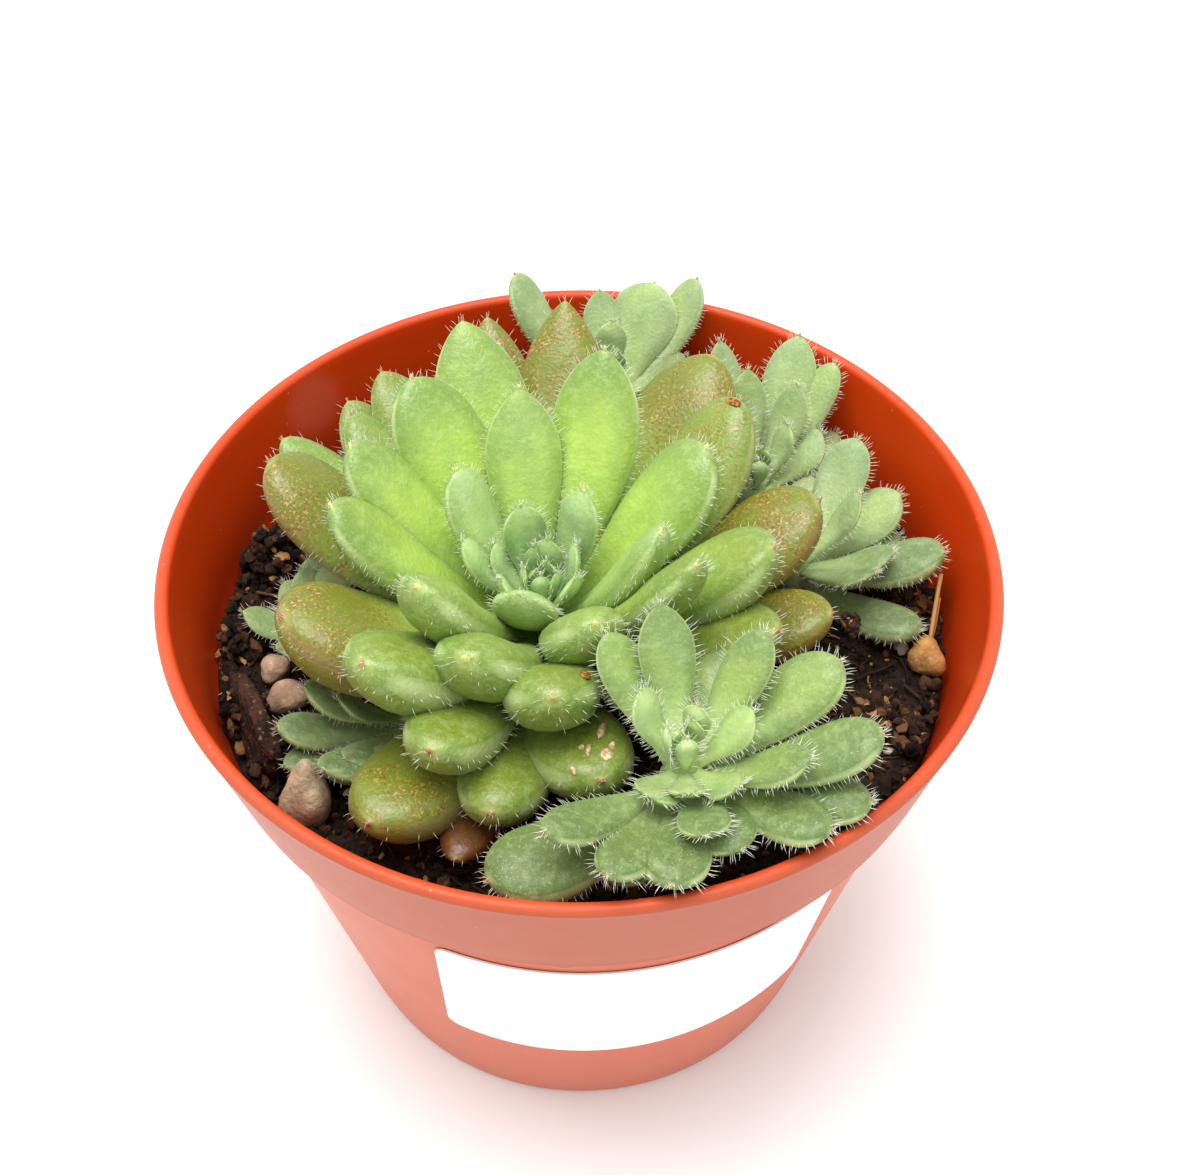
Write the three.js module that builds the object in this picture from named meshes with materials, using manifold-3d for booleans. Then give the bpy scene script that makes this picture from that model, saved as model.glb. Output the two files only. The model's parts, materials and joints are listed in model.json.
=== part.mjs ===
// A potted hen-and-chicks style succulent: one wide rosette, a smaller one in front of it and five
// offsets round the edge, in potting soil, in a thin-walled plastic nursery pot with a paper label.
// Millimetres, +Z up. The origin is the centre of the pot's flat underside, and -Y is the label side.
import * as THREE from 'three';
import { mergeVertices } from 'three/addons/utils/BufferGeometryUtils.js';
import Module from 'manifold-3d';

const wasm = await Module();
wasm.setup();

// Pot
const POT_HEIGHT = 79;
const RIM_RADIUS = 52.5;
const LIP_WIDTH = 1.8;
const COLLAR_HEIGHT = 18.2;
const COLLAR_FOOT_RADIUS = 48.9;
const BODY_TOP_RADIUS = 47.2;
const BODY_FOOT_RADIUS = 36.9;
const WALL = 1.3;
const FLOOR = 1.6;
const FOOT_ROUNDING = 0.9;
const LIP_ROUNDING = 0.6;
const SHOULDER_BELOW = 0.8; // the inner step from body to collar, below and above the outer one
const SHOULDER_ABOVE = 1.4;
const POT_FACETS = 60;
const DRAIN_COUNT = 8;
const DRAIN_RADIUS = 3;
const DRAIN_CIRCLE = 27;
const TAB_WIDTH = 5;
const TAB_DROP = 1.5;
const TAB_AZIMUTH = -93;
const TAB_SINK = 0.4;

// Label, a 50.8 by 31.75 paper sticker wrapped on the conical body
const LABEL_WIDTH = 50.8;
const LABEL_HEIGHT = 31.75;
const LABEL_CORNER = 2;
const LABEL_THICKNESS = 0.3;
const LABEL_MIDDLE = 39;
const LABEL_AZIMUTH = -81;
const LABEL_COLUMNS = 12;
const LABEL_CORNER_STEPS = [0, 0.35, 0.7, 0.9, 1];

// Clearance between neighbouring pieces
const GAP = 0.3;

// Soil
const SOIL_LEVEL = 64;
const SOIL_FACETS = 42;
const SOIL_RINGS = [0, 3.5, 8, 14, 24]; // inwards from the edge
const SOIL_EDGE_SHARE = 0.08; // how far up the inside of the collar the soil's edge lies

// Leaf form: a narrow fleshy neck, the widest place two thirds of the way out, then a round or pointed end.
// Thickness is a share of width, and the leaves that face the front are plumper by the extra share.
const LEAF_THICKNESS = 0.42;
const LEAF_EXTRA_THICKNESS = 0.26;
const LEAF_UPPER_SHARE = 0.42;
const LEAF_SAG = 0.12;
const LEAF_DROP = 0.22;
const LEAF_ROOT_OFFSET = 1.2;
const LEAF_ROOT_END = 0.4;
const LEAF_NECK = 0.4;
const LEAF_NECK_END = 0.1;
const LEAF_WIDEST = 0.7;
const ROUND_END = { curve: 2.6, power: 0.52 };
const POINTED_END = { curve: 2, power: 0.8 };
// The leaves at the back are pointed, less and less towards the sides, and so are the short young ones,
// which are flatter too. A leaf counts as young below the first reach, and as quite young at the second.
const BACK_POINT_FALL = 6;
const YOUNG_REACH = [20, 11];
const YOUNG_POINT = 0.8;
const YOUNG_THICKNESS = 0.34;
const BLADE_LEAST = 0.6;
// Where a leaf has its rings, as shares of its length, and how many facets it has round it
const LARGE_LEAF = { over: 19, rings: [0, 0.34, 0.58, 0.79, 0.93], facets: 8 };
const SMALL_LEAF = { rings: [0, 0.45, 0.77, 0.93], facets: 6 };
const POINT_GROWTH = 2.2; // a point moves out further than its flanks when a leaf grows
// The tight bud: steps are from each leaf to the next one
const BUD = { turn: 137.5, rise: 78, riseStep: -4, reach: 3, reachStep: 0.5, width: 2.6 };

// Rosettes. Each leaf is azimuth and rise in degrees, then reach from the heart and width.
// The order is the order of right of way: a later rosette gives way to the earlier ones.
const ROSETTES = [
  {
    name: 'rosette_front', heart: [10.8, -35.8, 84], stemRadius: 2.6, bud: 4,
    leaves: [
      [146, 48, 8.6, 4.6], [14, 30, 8.6, 5], [234, 0, 7.2, 5.2], [60, 62, 5.5, 3.4], [270, 12, 6.6, 4],
      [316, 6, 7.6, 4.6], [100, 35, 16, 6.4], [48, 30, 15.5, 5.8], [25, 15, 19.5, 8],
      [342, 17, 13.9, 5.4], [358, 10, 21, 7.2], [345, -7, 20.5, 6.6], [327, -4, 17.5, 6.4],
      [297, -14, 12.3, 7.4], [278, 4, 11.4, 5.8], [262, -7, 15.5, 7.6], [239, -3, 17, 6],
      [217, 6, 18.7, 5.4], [209, -15, 24.8, 9.6], [233, -27, 16, 7.5], [124, 20, 15.5, 6],
      [70, -5, 16, 6.5], [5, -22, 16, 6.5],
    ],
  },
  {
    name: 'rosette_main', heart: [-5, -5, 76], stemRadius: 5, bud: 6,
    leaves: [
      [114, 60, 11, 5.8], [41, 58, 14, 6.4], [141, 45, 18, 7.4], [170, 36, 11.8, 5.2], [7, 57, 8.3, 4.4],
      [259, 45, 15, 7.8], [324, 44, 7.2, 4.8], [206, 40, 7, 4.6], [150, 35, 8, 4],
      [75, 60, 6.4, 4], [97, 42, 25, 9.8], [70, 38, 31, 11.8],
      [127, 32, 31, 12.6], [155, 30, 29, 10.2], [178, 30, 28, 9.6], [229, 41, 26, 10.4],
      [338, 46, 22, 7.4], [23, 35, 27, 12.4], [322, 40, 29, 8.6], [290, 36, 23, 9.6],
      [251, 30, 27, 11.4], [230, 24, 32, 13], [347, 26, 31, 12.4], [38, 22, 35, 12.6],
      [107, 25, 38, 12.8], [85, 20, 42, 12.2], [54, 15, 41, 15.4], [10, 14, 36, 14], [161, 18, 37, 13],
      [203, 16.5, 33, 15.6], [249, 13, 33, 11], [274, 23, 28, 11.4], [283, 3, 31, 12],
      [261, 0, 33.6, 11], [241, -1, 38.5, 13.2], [332, 15, 32, 11.4], [349, 4, 36, 11], [305, 16, 28, 9],
      [124, 13, 39, 10.6], [136, 13, 35.2, 9], [150, 12, 39, 8.6], [255, -9, 37, 7.4], [132, 9, 39, 9.6],
      [100, 13, 43.6, 11],
    ],
    lower: { count: 7, from: 330, step: 37, rise: -7, reach: 29, width: 9.5 },
  },
  {
    name: 'rosette_back_right', heart: [24.5, 20.5, 71], stemRadius: 2.2, bud: 3,
    leaves: [
      [67, 33, 20.7, 7.6], [47, 29, 19.2, 5.6], [53, 44, 13.4, 5.2], [96, 47, 14.4, 5.6],
      [108, 38, 19.2, 5.4], [32, 53, 8.2, 4], [25, 21, 10.9, 6.2],
    ],
    lower: { count: 4, from: 5, step: 29, rise: -1, reach: 15, width: 6.4 },
  },
  {
    name: 'rosette_right', heart: [28.6, 5.5, 72.5], stemRadius: 2.2, bud: 3,
    leaves: [
      [53, 31, 16.2, 6.8], [22, 14, 15.2, 7.6], [12, 44, 10.6, 4.6], [345, 10, 18.8, 7.4],
      [333, 18, 13.2, 5.2], [306, 24, 14.6, 4.4], [353, -4, 17.3, 6.8], [318, -8, 19.6, 6.2],
    ],
    lower: { count: 3, from: 8, step: 34, rise: -3, reach: 14, width: 6.4 },
  },
  {
    name: 'rosette_back', heart: [5, 38, 74], stemRadius: 2, bud: 3,
    leaves: [
      [149, 37, 20, 6.6], [99, 39, 12.8, 5.8], [57, 38, 14.8, 10.6], [37, 33, 18.5, 6.6], [89, 62, 8, 4.6],
    ],
    lower: { count: 5, from: 12, step: 39, rise: 10, reach: 11, width: 6 },
  },
  {
    name: 'rosette_left', heart: [-32, -3.5, 69], stemRadius: 1.8, bud: 2,
    leaves: [
      [177, 5, 11.3, 4.6], [124, 22, 7.9, 5], [140, 7, 8.8, 4.8], [88, 31, 7.7, 5], [226, 7, 8.5, 4.4],
      [112, 20, 9.2, 4.8],
    ],
  },
  {
    name: 'rosette_front_left', heart: [-21, -17, 69], stemRadius: 1.8, bud: 2,
    leaves: [
      [203, 12, 16.6, 5.6], [213, 0, 17, 5.4], [236, 14, 16, 6.2], [240, 13, 12.9, 5.8],
      [190, 26, 13.5, 5.2], [258, 10, 10.5, 5], [201, 30, 9.9, 4],
    ],
  },
];
const STEM_FOOT = 57;
const STEM_TAPER = { from: 1.8, to: 1.2, share: 0.5 };

// Loose stones, bedded in the soil: place, half sizes, turn about the upright and lean in degrees
const STONES = [
  { name: 'pebble_front_left', at: [-33.0, -29.0], half: [3, 3, 5], turn: 20, lean: 14, colour: 0xc9b8a6 },
  { name: 'pumice_left_large', at: [-37.4, -12.6], half: [2.8, 2.2, 2], turn: 35, lean: 8, colour: 0xc7a794 },
  { name: 'pumice_left_small', at: [-39.6, -7.6], half: [2.1, 1.8, 1.7], turn: 70, lean: 0, colour: 0xd2b09c },
  { name: 'pebble_right', at: [44, -9.2], half: [2.2, 2.8, 2.4], turn: 15, lean: 10, colour: 0xb9925f },
];
const STONE_BEDDING = 0.4;
const BARK = { at: [-40.3, -18.6, 66.4], length: 15, height: 8, thickness: 2.6, turn: -64, lean: -14 };

const degrees = THREE.MathUtils.degToRad;

const plastic = new THREE.MeshStandardMaterial({ color: 0xcd6a4c, roughness: 0.45, metalness: 0 });
const paper = new THREE.MeshStandardMaterial({ color: 0xf4f2ee, roughness: 0.8, metalness: 0 });
const earth = new THREE.MeshStandardMaterial({ color: 0x2c211b, roughness: 1, metalness: 0 });
const bark = new THREE.MeshStandardMaterial({ color: 0x4a2e25, roughness: 0.95, metalness: 0 });
const greenLeaf = new THREE.MeshStandardMaterial({ color: 0x86a862, roughness: 0.5, metalness: 0 });
const paleLeaf = new THREE.MeshStandardMaterial({ color: 0x8fae85, roughness: 0.6, metalness: 0 });

// A solid from a closed geometry, and back again
function solidFrom(geometry) {
  const bare = geometry.clone();
  bare.deleteAttribute('normal');
  bare.deleteAttribute('uv');
  const merged = mergeVertices(bare, 1e-4);
  const corners = merged.index.array;
  const triangles = [];
  for (let i = 0; i < corners.length; i += 3) {
    const [a, b, c] = [corners[i], corners[i + 1], corners[i + 2]];
    if (a !== b && b !== c && c !== a) triangles.push(a, b, c);
  }
  return new wasm.Manifold(new wasm.Mesh({
    numProp: 3,
    vertProperties: new Float32Array(merged.attributes.position.array),
    triVerts: new Uint32Array(triangles),
  }));
}

function geometryFrom(solid) {
  const mesh = solid.getMesh();
  const points = [];
  for (let i = 0; i < mesh.vertProperties.length; i += mesh.numProp) {
    points.push(mesh.vertProperties[i], mesh.vertProperties[i + 1], mesh.vertProperties[i + 2]);
  }
  const geometry = new THREE.BufferGeometry();
  geometry.setAttribute('position', new THREE.Float32BufferAttribute(points, 3));
  geometry.setIndex(Array.from(mesh.triVerts));
  geometry.computeVertexNormals();
  return geometry;
}

function joined(solids) {
  return solids.reduce((whole, solid) => whole.add(solid));
}

function largestBody(solid) {
  return solid.decompose().reduce((a, b) => (a.volume() > b.volume() ? a : b));
}

// A turned body. Its profile is radius and height pairs from bottom to top, on the outside.
function turned(profile, facets) {
  const geometry = new THREE.LatheGeometry(profile.map(([r, z]) => new THREE.Vector2(r, z)), facets);
  return geometry.rotateX(Math.PI / 2);
}

// The body's outside radius at a height
function bodyRadius(z) {
  return THREE.MathUtils.lerp(BODY_FOOT_RADIUS, BODY_TOP_RADIUS, z / (POT_HEIGHT - COLLAR_HEIGHT));
}

// The inside of the wall as radius and height pairs, from the floor up to the lip, moved in by a gap
function innerWall(gap) {
  const step = POT_HEIGHT - COLLAR_HEIGHT;
  return [
    [bodyRadius(FLOOR) - WALL - gap, FLOOR + gap],
    [bodyRadius(step) - WALL - gap, step - SHOULDER_BELOW],
    [COLLAR_FOOT_RADIUS - WALL - gap, step + SHOULDER_ABOVE],
    [RIM_RADIUS - LIP_WIDTH - gap, POT_HEIGHT - LIP_ROUNDING],
  ];
}

function makePot() {
  const step = POT_HEIGHT - COLLAR_HEIGHT;
  const profile = [
    [0, 0], [BODY_FOOT_RADIUS - FOOT_ROUNDING, 0], [BODY_FOOT_RADIUS, FOOT_ROUNDING],
    [BODY_TOP_RADIUS, step], [COLLAR_FOOT_RADIUS, step],
    [RIM_RADIUS, POT_HEIGHT - LIP_ROUNDING], [RIM_RADIUS - LIP_ROUNDING, POT_HEIGHT],
    [RIM_RADIUS - LIP_WIDTH + LIP_ROUNDING, POT_HEIGHT],
    ...innerWall(0).reverse(), [0, FLOOR],
  ];
  let pot = solidFrom(turned(profile, POT_FACETS));
  pot = pot.add(makeTab(step));
  for (let i = 0; i < DRAIN_COUNT; i++) {
    const angle = (i + 0.5) * 2 * Math.PI / DRAIN_COUNT;
    const drill = new THREE.CylinderGeometry(DRAIN_RADIUS, DRAIN_RADIUS, 4 * FLOOR, 12).rotateX(Math.PI / 2);
    drill.translate(DRAIN_CIRCLE * Math.cos(angle), DRAIN_CIRCLE * Math.sin(angle), 0);
    pot = pot.subtract(solidFrom(drill));
  }
  return geometryFrom(pot);
}

// The small round moulding tab that hangs from the collar's lower edge
function makeTab(step) {
  const half = TAB_WIDTH / 2;
  const outline = new THREE.Shape();
  outline.moveTo(-half, TAB_SINK);
  outline.lineTo(-half, 0);
  outline.quadraticCurveTo(-half / 2, -TAB_DROP, 0, -TAB_DROP);
  outline.quadraticCurveTo(half / 2, -TAB_DROP, half, 0);
  outline.lineTo(half, TAB_SINK);
  const inside = BODY_TOP_RADIUS - TAB_SINK;
  const depth = COLLAR_FOOT_RADIUS - TAB_SINK - inside;
  const tab = new THREE.ExtrudeGeometry(outline, { depth, bevelEnabled: false, curveSegments: 4 });
  const outward = new THREE.Vector3(Math.cos(degrees(TAB_AZIMUTH)), Math.sin(degrees(TAB_AZIMUTH)), 0);
  const along = new THREE.Vector3(-outward.y, outward.x, 0);
  tab.translate(0, step, inside);
  tab.applyMatrix4(new THREE.Matrix4().makeBasis(along, new THREE.Vector3(0, 0, 1), outward));
  return solidFrom(tab);
}

function makeLabel() {
  const slope = Math.atan((BODY_TOP_RADIUS - BODY_FOOT_RADIUS) / (POT_HEIGHT - COLLAR_HEIGHT));
  const toApex = bodyRadius(LABEL_MIDDLE) / Math.sin(slope);
  const straight = LABEL_WIDTH / 2 - LABEL_CORNER;
  const corner = LABEL_CORNER_STEPS.map((s) => straight + s * LABEL_CORNER);
  const across = corner.map((u) => -u).reverse();
  for (let i = 1; i < LABEL_COLUMNS; i++) across.push((2 * i / LABEL_COLUMNS - 1) * straight);
  across.push(...corner);
  // A flat label point, across and up from its middle, laid on the cone at a distance off its surface
  const laid = (u, v, off) => {
    const distance = Math.hypot(toApex + v, u);
    const azimuth = degrees(LABEL_AZIMUTH) + Math.atan2(u, toApex + v) / Math.sin(slope);
    const radius = distance * Math.sin(slope) + off * Math.cos(slope);
    const z = LABEL_MIDDLE + (distance - toApex) * Math.cos(slope) - off * Math.sin(slope);
    return [radius * Math.cos(azimuth), radius * Math.sin(azimuth), z];
  };
  const sheet = new THREE.BoxGeometry(1, 1, 1, across.length - 1, 1, 1);
  const place = sheet.attributes.position;
  for (let i = 0; i < place.count; i++) {
    const column = Math.round((place.getX(i) + 0.5) * (across.length - 1));
    const u = across[column];
    const past = Math.max(0, Math.abs(u) - straight);
    const half = LABEL_HEIGHT / 2 - LABEL_CORNER + Math.sqrt(Math.max(0.04, LABEL_CORNER ** 2 - past ** 2));
    const off = place.getZ(i) > 0 ? GAP / 2 + LABEL_THICKNESS : GAP / 2;
    place.setXYZ(i, ...laid(u, Math.sign(place.getY(i)) * half, off));
  }
  sheet.computeVertexNormals();
  return sheet;
}

// Height of the soil's surface: gentle lumps, a little higher at the right
function soilHeight(x, y) {
  return SOIL_LEVEL + 0.02 * x + 0.5 * Math.sin(0.35 * x + 1) * Math.cos(0.3 * y)
    + 0.3 * Math.sin(0.8 * x - 0.6 * y);
}

function makeSoil(sockets) {
  const wall = innerWall(GAP).slice(0, 3);
  const edge = THREE.MathUtils.lerp(wall[2][0], RIM_RADIUS - LIP_WIDTH - GAP, SOIL_EDGE_SHARE);
  const profile = [
    [0, FLOOR + GAP], ...wall, ...SOIL_RINGS.map((inwards) => [edge - inwards, SOIL_LEVEL]), [0, SOIL_LEVEL],
  ];
  const geometry = turned(profile, SOIL_FACETS);
  const place = geometry.attributes.position;
  for (let i = 0; i < place.count; i++) {
    if (place.getZ(i) > SOIL_LEVEL - 0.01) place.setZ(i, soilHeight(place.getX(i), place.getY(i)));
  }
  let soil = solidFrom(geometry);
  for (const socket of sockets) soil = soil.subtract(socket);
  return geometryFrom(largestBody(soil));
}

// A leaf's half width along it, from 0 at the root to 1 at the tip, as a share of the widest.
// Pointed runs from 0 for a round end to 1 for an end with straight flanks.
function halfWidthShare(t, pointed) {
  const swell = LEAF_NECK + (1 - LEAF_NECK) * THREE.MathUtils.smoothstep(t, LEAF_NECK_END, LEAF_WIDEST);
  const past = Math.max(0, (t - LEAF_WIDEST) / (1 - LEAF_WIDEST));
  const curve = THREE.MathUtils.lerp(ROUND_END.curve, POINTED_END.curve, pointed);
  return swell * (1 - past ** curve) ** THREE.MathUtils.lerp(ROUND_END.power, POINTED_END.power, pointed);
}

// One fleshy leaf: rings along an upward bending centre line, flatter above than below.
// Growing moves the whole skin outwards.
function makeLeaf(heart, [azimuth, rise, reach, width], grow) {
  const { rings, facets } = reach > LARGE_LEAF.over ? LARGE_LEAF : SMALL_LEAF;
  const leaf = new THREE.SphereGeometry(1, facets, rings.length + 1);
  const outward = new THREE.Vector3(Math.cos(degrees(azimuth)), Math.sin(degrees(azimuth)), 0);
  const side = new THREE.Vector3(outward.y, -outward.x, 0);
  const upright = new THREE.Vector3(0, 0, 1);
  const root = new THREE.Vector3(...heart)
    .addScaledVector(upright, -(1 + LEAF_DROP * reach)).addScaledVector(outward, LEAF_ROOT_OFFSET);
  const tip = new THREE.Vector3(...heart)
    .addScaledVector(outward, reach * Math.cos(degrees(rise)))
    .addScaledVector(upright, reach * Math.sin(degrees(rise)));
  const chord = tip.clone().sub(root);
  const normal = side.clone().cross(chord).normalize();
  const middle = root.clone().addScaledVector(chord, 0.5).addScaledVector(normal, -LEAF_SAG * chord.length());
  const line = new THREE.QuadraticBezierCurve3(root, middle, tip);
  const young = THREE.MathUtils.clamp((YOUNG_REACH[0] - reach) / (YOUNG_REACH[0] - YOUNG_REACH[1]), 0, 1);
  const grown = LEAF_THICKNESS + LEAF_EXTRA_THICKNESS * (1 - outward.y) / 2;
  const plumpness = THREE.MathUtils.lerp(grown, YOUNG_THICKNESS, young);
  const pointed = Math.max(Math.max(0, outward.y) ** BACK_POINT_FALL, YOUNG_POINT * young);
  const place = leaf.attributes.position;
  for (let i = 0; i < place.count; i++) {
    const row = Math.floor(i / (facets + 1));
    const angle = 2 * Math.PI * (i % (facets + 1) % facets) / facets;
    if (row === 0 || row > rings.length) {
      const end = row === 0 ? 0 : 1;
      const point = line.getPoint(end);
      point.addScaledVector(line.getTangent(end), end ? POINT_GROWTH * grow : -LEAF_ROOT_END - grow);
      place.setXYZ(i, ...point);
      continue;
    }
    const t = rings[row - 1];
    const up = side.clone().cross(line.getTangent(t)).normalize();
    const half = width / 2 * halfWidthShare(t, pointed);
    const share = Math.sin(angle) > 0 ? LEAF_UPPER_SHARE : 1 - LEAF_UPPER_SHARE;
    const thick = Math.max(BLADE_LEAST, 2 * half * plumpness) * share;
    const point = line.getPoint(t)
      .addScaledVector(side, (half + grow) * Math.cos(angle))
      .addScaledVector(up, (thick + grow) * Math.sin(angle));
    place.setXYZ(i, ...point);
  }
  return solidFrom(leaf);
}

// Every leaf of a rosette: the drawn ones, the even lower whorl and the tight bud at the heart
function allLeaves({ leaves, lower, bud }) {
  const rows = [...leaves];
  if (lower) {
    for (let i = 0; i < lower.count; i++) {
      rows.push([(lower.from + i * lower.step) % 360, lower.rise, lower.reach, lower.width]);
    }
  }
  for (let i = 0; i < bud; i++) {
    const azimuth = (i + 1) * BUD.turn % 360;
    rows.push([azimuth, BUD.rise + i * BUD.riseStep, BUD.reach + i * BUD.reachStep, BUD.width]);
  }
  return rows;
}

// The stem stands in the soil and swells a little where the leaves grow from it
function makeStem([x, y, z], radius, grow) {
  const stem = turned([
    [0, STEM_FOOT - grow], [radius + grow, STEM_FOOT - grow], [radius + grow, z - radius * STEM_TAPER.from],
    [radius * STEM_TAPER.share + grow, z - STEM_TAPER.to], [0, z + grow],
  ], 12);
  return solidFrom(stem.translate(x, y, 0));
}

function makeRosette(rosette, grow) {
  const leaves = allLeaves(rosette).map((leaf) => makeLeaf(rosette.heart, leaf, grow));
  return joined([makeStem(rosette.heart, rosette.stemRadius, grow), ...leaves]);
}

// A rounded stone with a slightly uneven skin
function makeStone({ at, half, turn, lean }, grow) {
  const stone = new THREE.IcosahedronGeometry(1, 1);
  const place = stone.attributes.position;
  for (let i = 0; i < place.count; i++) {
    const [x, y, z] = [place.getX(i), place.getY(i), place.getZ(i)];
    const size = 1 + 0.08 * Math.sin(3 * x + 2 * z) + 0.06 * Math.sin(4 * y - 2 * x);
    place.setXYZ(i, x * (half[0] * size + grow), y * (half[1] * size + grow), z * (half[2] * size + grow));
  }
  const middle = soilHeight(...at) + half[2] * (1 - STONE_BEDDING);
  stone.rotateY(degrees(lean)).rotateZ(degrees(turn)).translate(at[0], at[1], middle);
  return solidFrom(stone);
}

// A split slab of bark that leans on the wall
function makeBark(grow) {
  const { at, length, height, thickness, turn, lean } = BARK;
  const outline = new THREE.Shape();
  const corners = [[-0.5, -0.5], [-0.1, -0.56], [0.42, -0.5], [0.5, -0.1], [0.44, 0.3], [0.2, 0.5],
    [-0.12, 0.42], [-0.4, 0.5], [-0.52, 0.1]];
  corners.forEach(([u, v], i) => {
    const x = u * (length + 2 * grow);
    const y = v * (height + 2 * grow);
    if (i) outline.lineTo(x, y);
    else outline.moveTo(x, y);
  });
  const slab = new THREE.ExtrudeGeometry(outline, { depth: thickness + 2 * grow, bevelEnabled: false });
  slab.translate(0, 0, -thickness / 2 - grow).rotateX(Math.PI / 2);
  slab.rotateX(degrees(lean)).rotateZ(degrees(turn)).translate(...at);
  return solidFrom(slab);
}

const plant = new THREE.Group();

function addPiece(name, geometry, material) {
  const piece = new THREE.Mesh(geometry, material);
  piece.name = name;
  plant.add(piece);
}

addPiece('pot', makePot(), plastic);
addPiece('label', makeLabel(), paper);

const sockets = [];
const taken = [];
for (const rosette of ROSETTES) {
  let solid = makeRosette(rosette, 0);
  for (const neighbour of taken) solid = solid.subtract(neighbour);
  const skin = rosette.name === 'rosette_main' ? greenLeaf : paleLeaf;
  addPiece(rosette.name, geometryFrom(largestBody(solid)), skin);
  taken.push(makeRosette(rosette, GAP));
  sockets.push(makeStem(rosette.heart, rosette.stemRadius, GAP));
}
for (const stone of STONES) {
  let solid = makeStone(stone, 0);
  for (const neighbour of taken) solid = solid.subtract(neighbour);
  const colour = new THREE.MeshStandardMaterial({ color: stone.colour, roughness: 0.9, metalness: 0 });
  addPiece(stone.name, geometryFrom(largestBody(solid)), colour);
  sockets.push(makeStone(stone, GAP));
}
let slab = makeBark(0);
for (const neighbour of [...taken, makeStone(STONES[0], GAP)]) slab = slab.subtract(neighbour);
addPiece('bark_chip', geometryFrom(largestBody(slab)), bark);
sockets.push(makeBark(GAP));
addPiece('soil', makeSoil(sockets), earth);

export default plant;
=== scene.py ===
"""Looks of the potted rosette succulent: fine leaves with hairs, soil, stones and a satin plastic pot.

Lengths in the making functions are millimetres and are turned into metres when a mesh is made.
Azimuth 0 is +X, the right of the picture, and 270 is towards the camera.
"""

import json
import math

import bpy
import numpy as np
from mathutils import Matrix, Vector

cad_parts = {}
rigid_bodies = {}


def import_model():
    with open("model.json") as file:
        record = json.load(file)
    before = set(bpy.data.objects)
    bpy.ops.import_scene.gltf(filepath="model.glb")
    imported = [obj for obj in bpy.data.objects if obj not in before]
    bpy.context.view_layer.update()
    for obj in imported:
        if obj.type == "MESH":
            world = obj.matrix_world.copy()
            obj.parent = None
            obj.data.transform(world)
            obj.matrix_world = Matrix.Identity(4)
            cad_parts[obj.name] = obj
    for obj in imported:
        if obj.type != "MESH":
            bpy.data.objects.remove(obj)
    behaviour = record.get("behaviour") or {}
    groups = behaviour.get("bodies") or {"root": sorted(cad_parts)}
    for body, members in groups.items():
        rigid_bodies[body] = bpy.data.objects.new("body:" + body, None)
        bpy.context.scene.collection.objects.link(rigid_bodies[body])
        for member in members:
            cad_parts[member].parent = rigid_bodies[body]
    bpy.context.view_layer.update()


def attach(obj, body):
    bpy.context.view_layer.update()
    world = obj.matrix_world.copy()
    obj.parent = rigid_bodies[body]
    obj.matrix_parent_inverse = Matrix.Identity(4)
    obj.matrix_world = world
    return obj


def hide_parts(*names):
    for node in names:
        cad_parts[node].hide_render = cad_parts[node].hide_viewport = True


MM = 0.001
SEED = 11

# Pot
POT_HEIGHT = 79.0
RIM_RADIUS = 52.5
LIP_WIDTH = 1.8
COLLAR_HEIGHT = 18.2
COLLAR_FOOT_RADIUS = 48.9
BODY_TOP_RADIUS = 47.2
BODY_FOOT_RADIUS = 36.9
WALL = 1.3
FLOOR = 1.6
FOOT_ROUNDING = 0.9
COLLAR_ROUNDING = 0.5
SHOULDER_BELOW = 0.8  # the inner step from body to collar, below and above the outer one
SHOULDER_ABOVE = 1.4
INNER_LIP_DEPTH = 1.2
POT_FACETS = 180
DRAIN_COUNT = 8
DRAIN_RADIUS = 3.0
DRAIN_CIRCLE = 27.0
DRAIN_FACETS = 24
TAB_WIDTH = 5.0
TAB_DROP = 1.5
TAB_RISE = 0.2  # how far its middle is above the step
TAB_DEPTH, TAB_OUT = 1.0, 0.5
TAB_AZIMUTH = -93.0
STEP = POT_HEIGHT - COLLAR_HEIGHT

# Label
LABEL_WIDTH = 50.8
LABEL_HEIGHT = 31.75
LABEL_CORNER = 2.0
LABEL_THICKNESS = 0.25
LABEL_OFF = 0.1
LABEL_MIDDLE = 39.0
LABEL_AZIMUTH = -81.0

# Soil, clear of the wall by a gap
GAP = 0.3
SOIL_LEVEL = 64.0
SOIL_EDGE_SHARE = 1 / 9  # how far up the inside of the collar the soil's edge lies
SOIL_EDGE_DROP = 1.5
SOIL_RINGS, SOIL_FACETS = 70, 240
# Loose things on the soil: how many, and how far out from the middle
STREWN_CRUMBS = (380, 45.6)
WALL_CRUMBS = (240, 47.0)
GRIT = (5600, 47.2)
FIBRES = (520, 44.5)
SPLINTERS = (120, 45)
PERLITE = (34, 44.5)
LOOSE_REACH = 46.8
FIBRE_REACH = 46.0
# Crumbs: how fine their roughness is, and the paler ones that are thin flakes
CRUMB_GRAIN = 2.6
FLAKE_TONE, FLAKE_THICKNESS = 0.8, 0.4

# Leaf form
LEAF_THICKNESS = 0.42
LEAF_EXTRA_THICKNESS = 0.26
LEAF_UPPER_SHARE = 0.42
LEAF_SAG = 0.12
LEAF_DROP = 0.22
LEAF_ROOT_OFFSET = 1.2
LEAF_NECK = 0.4
LEAF_NECK_END = 0.1
LEAF_WIDEST = 0.7
ROUND_END = (2.6, 0.52)
POINTED_END = (2.0, 0.8)
BACK_POINT_FALL = 6
YOUNG_REACH = (20, 11)
YOUNG_POINT = 0.8
YOUNG_THICKNESS = 0.34
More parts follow.
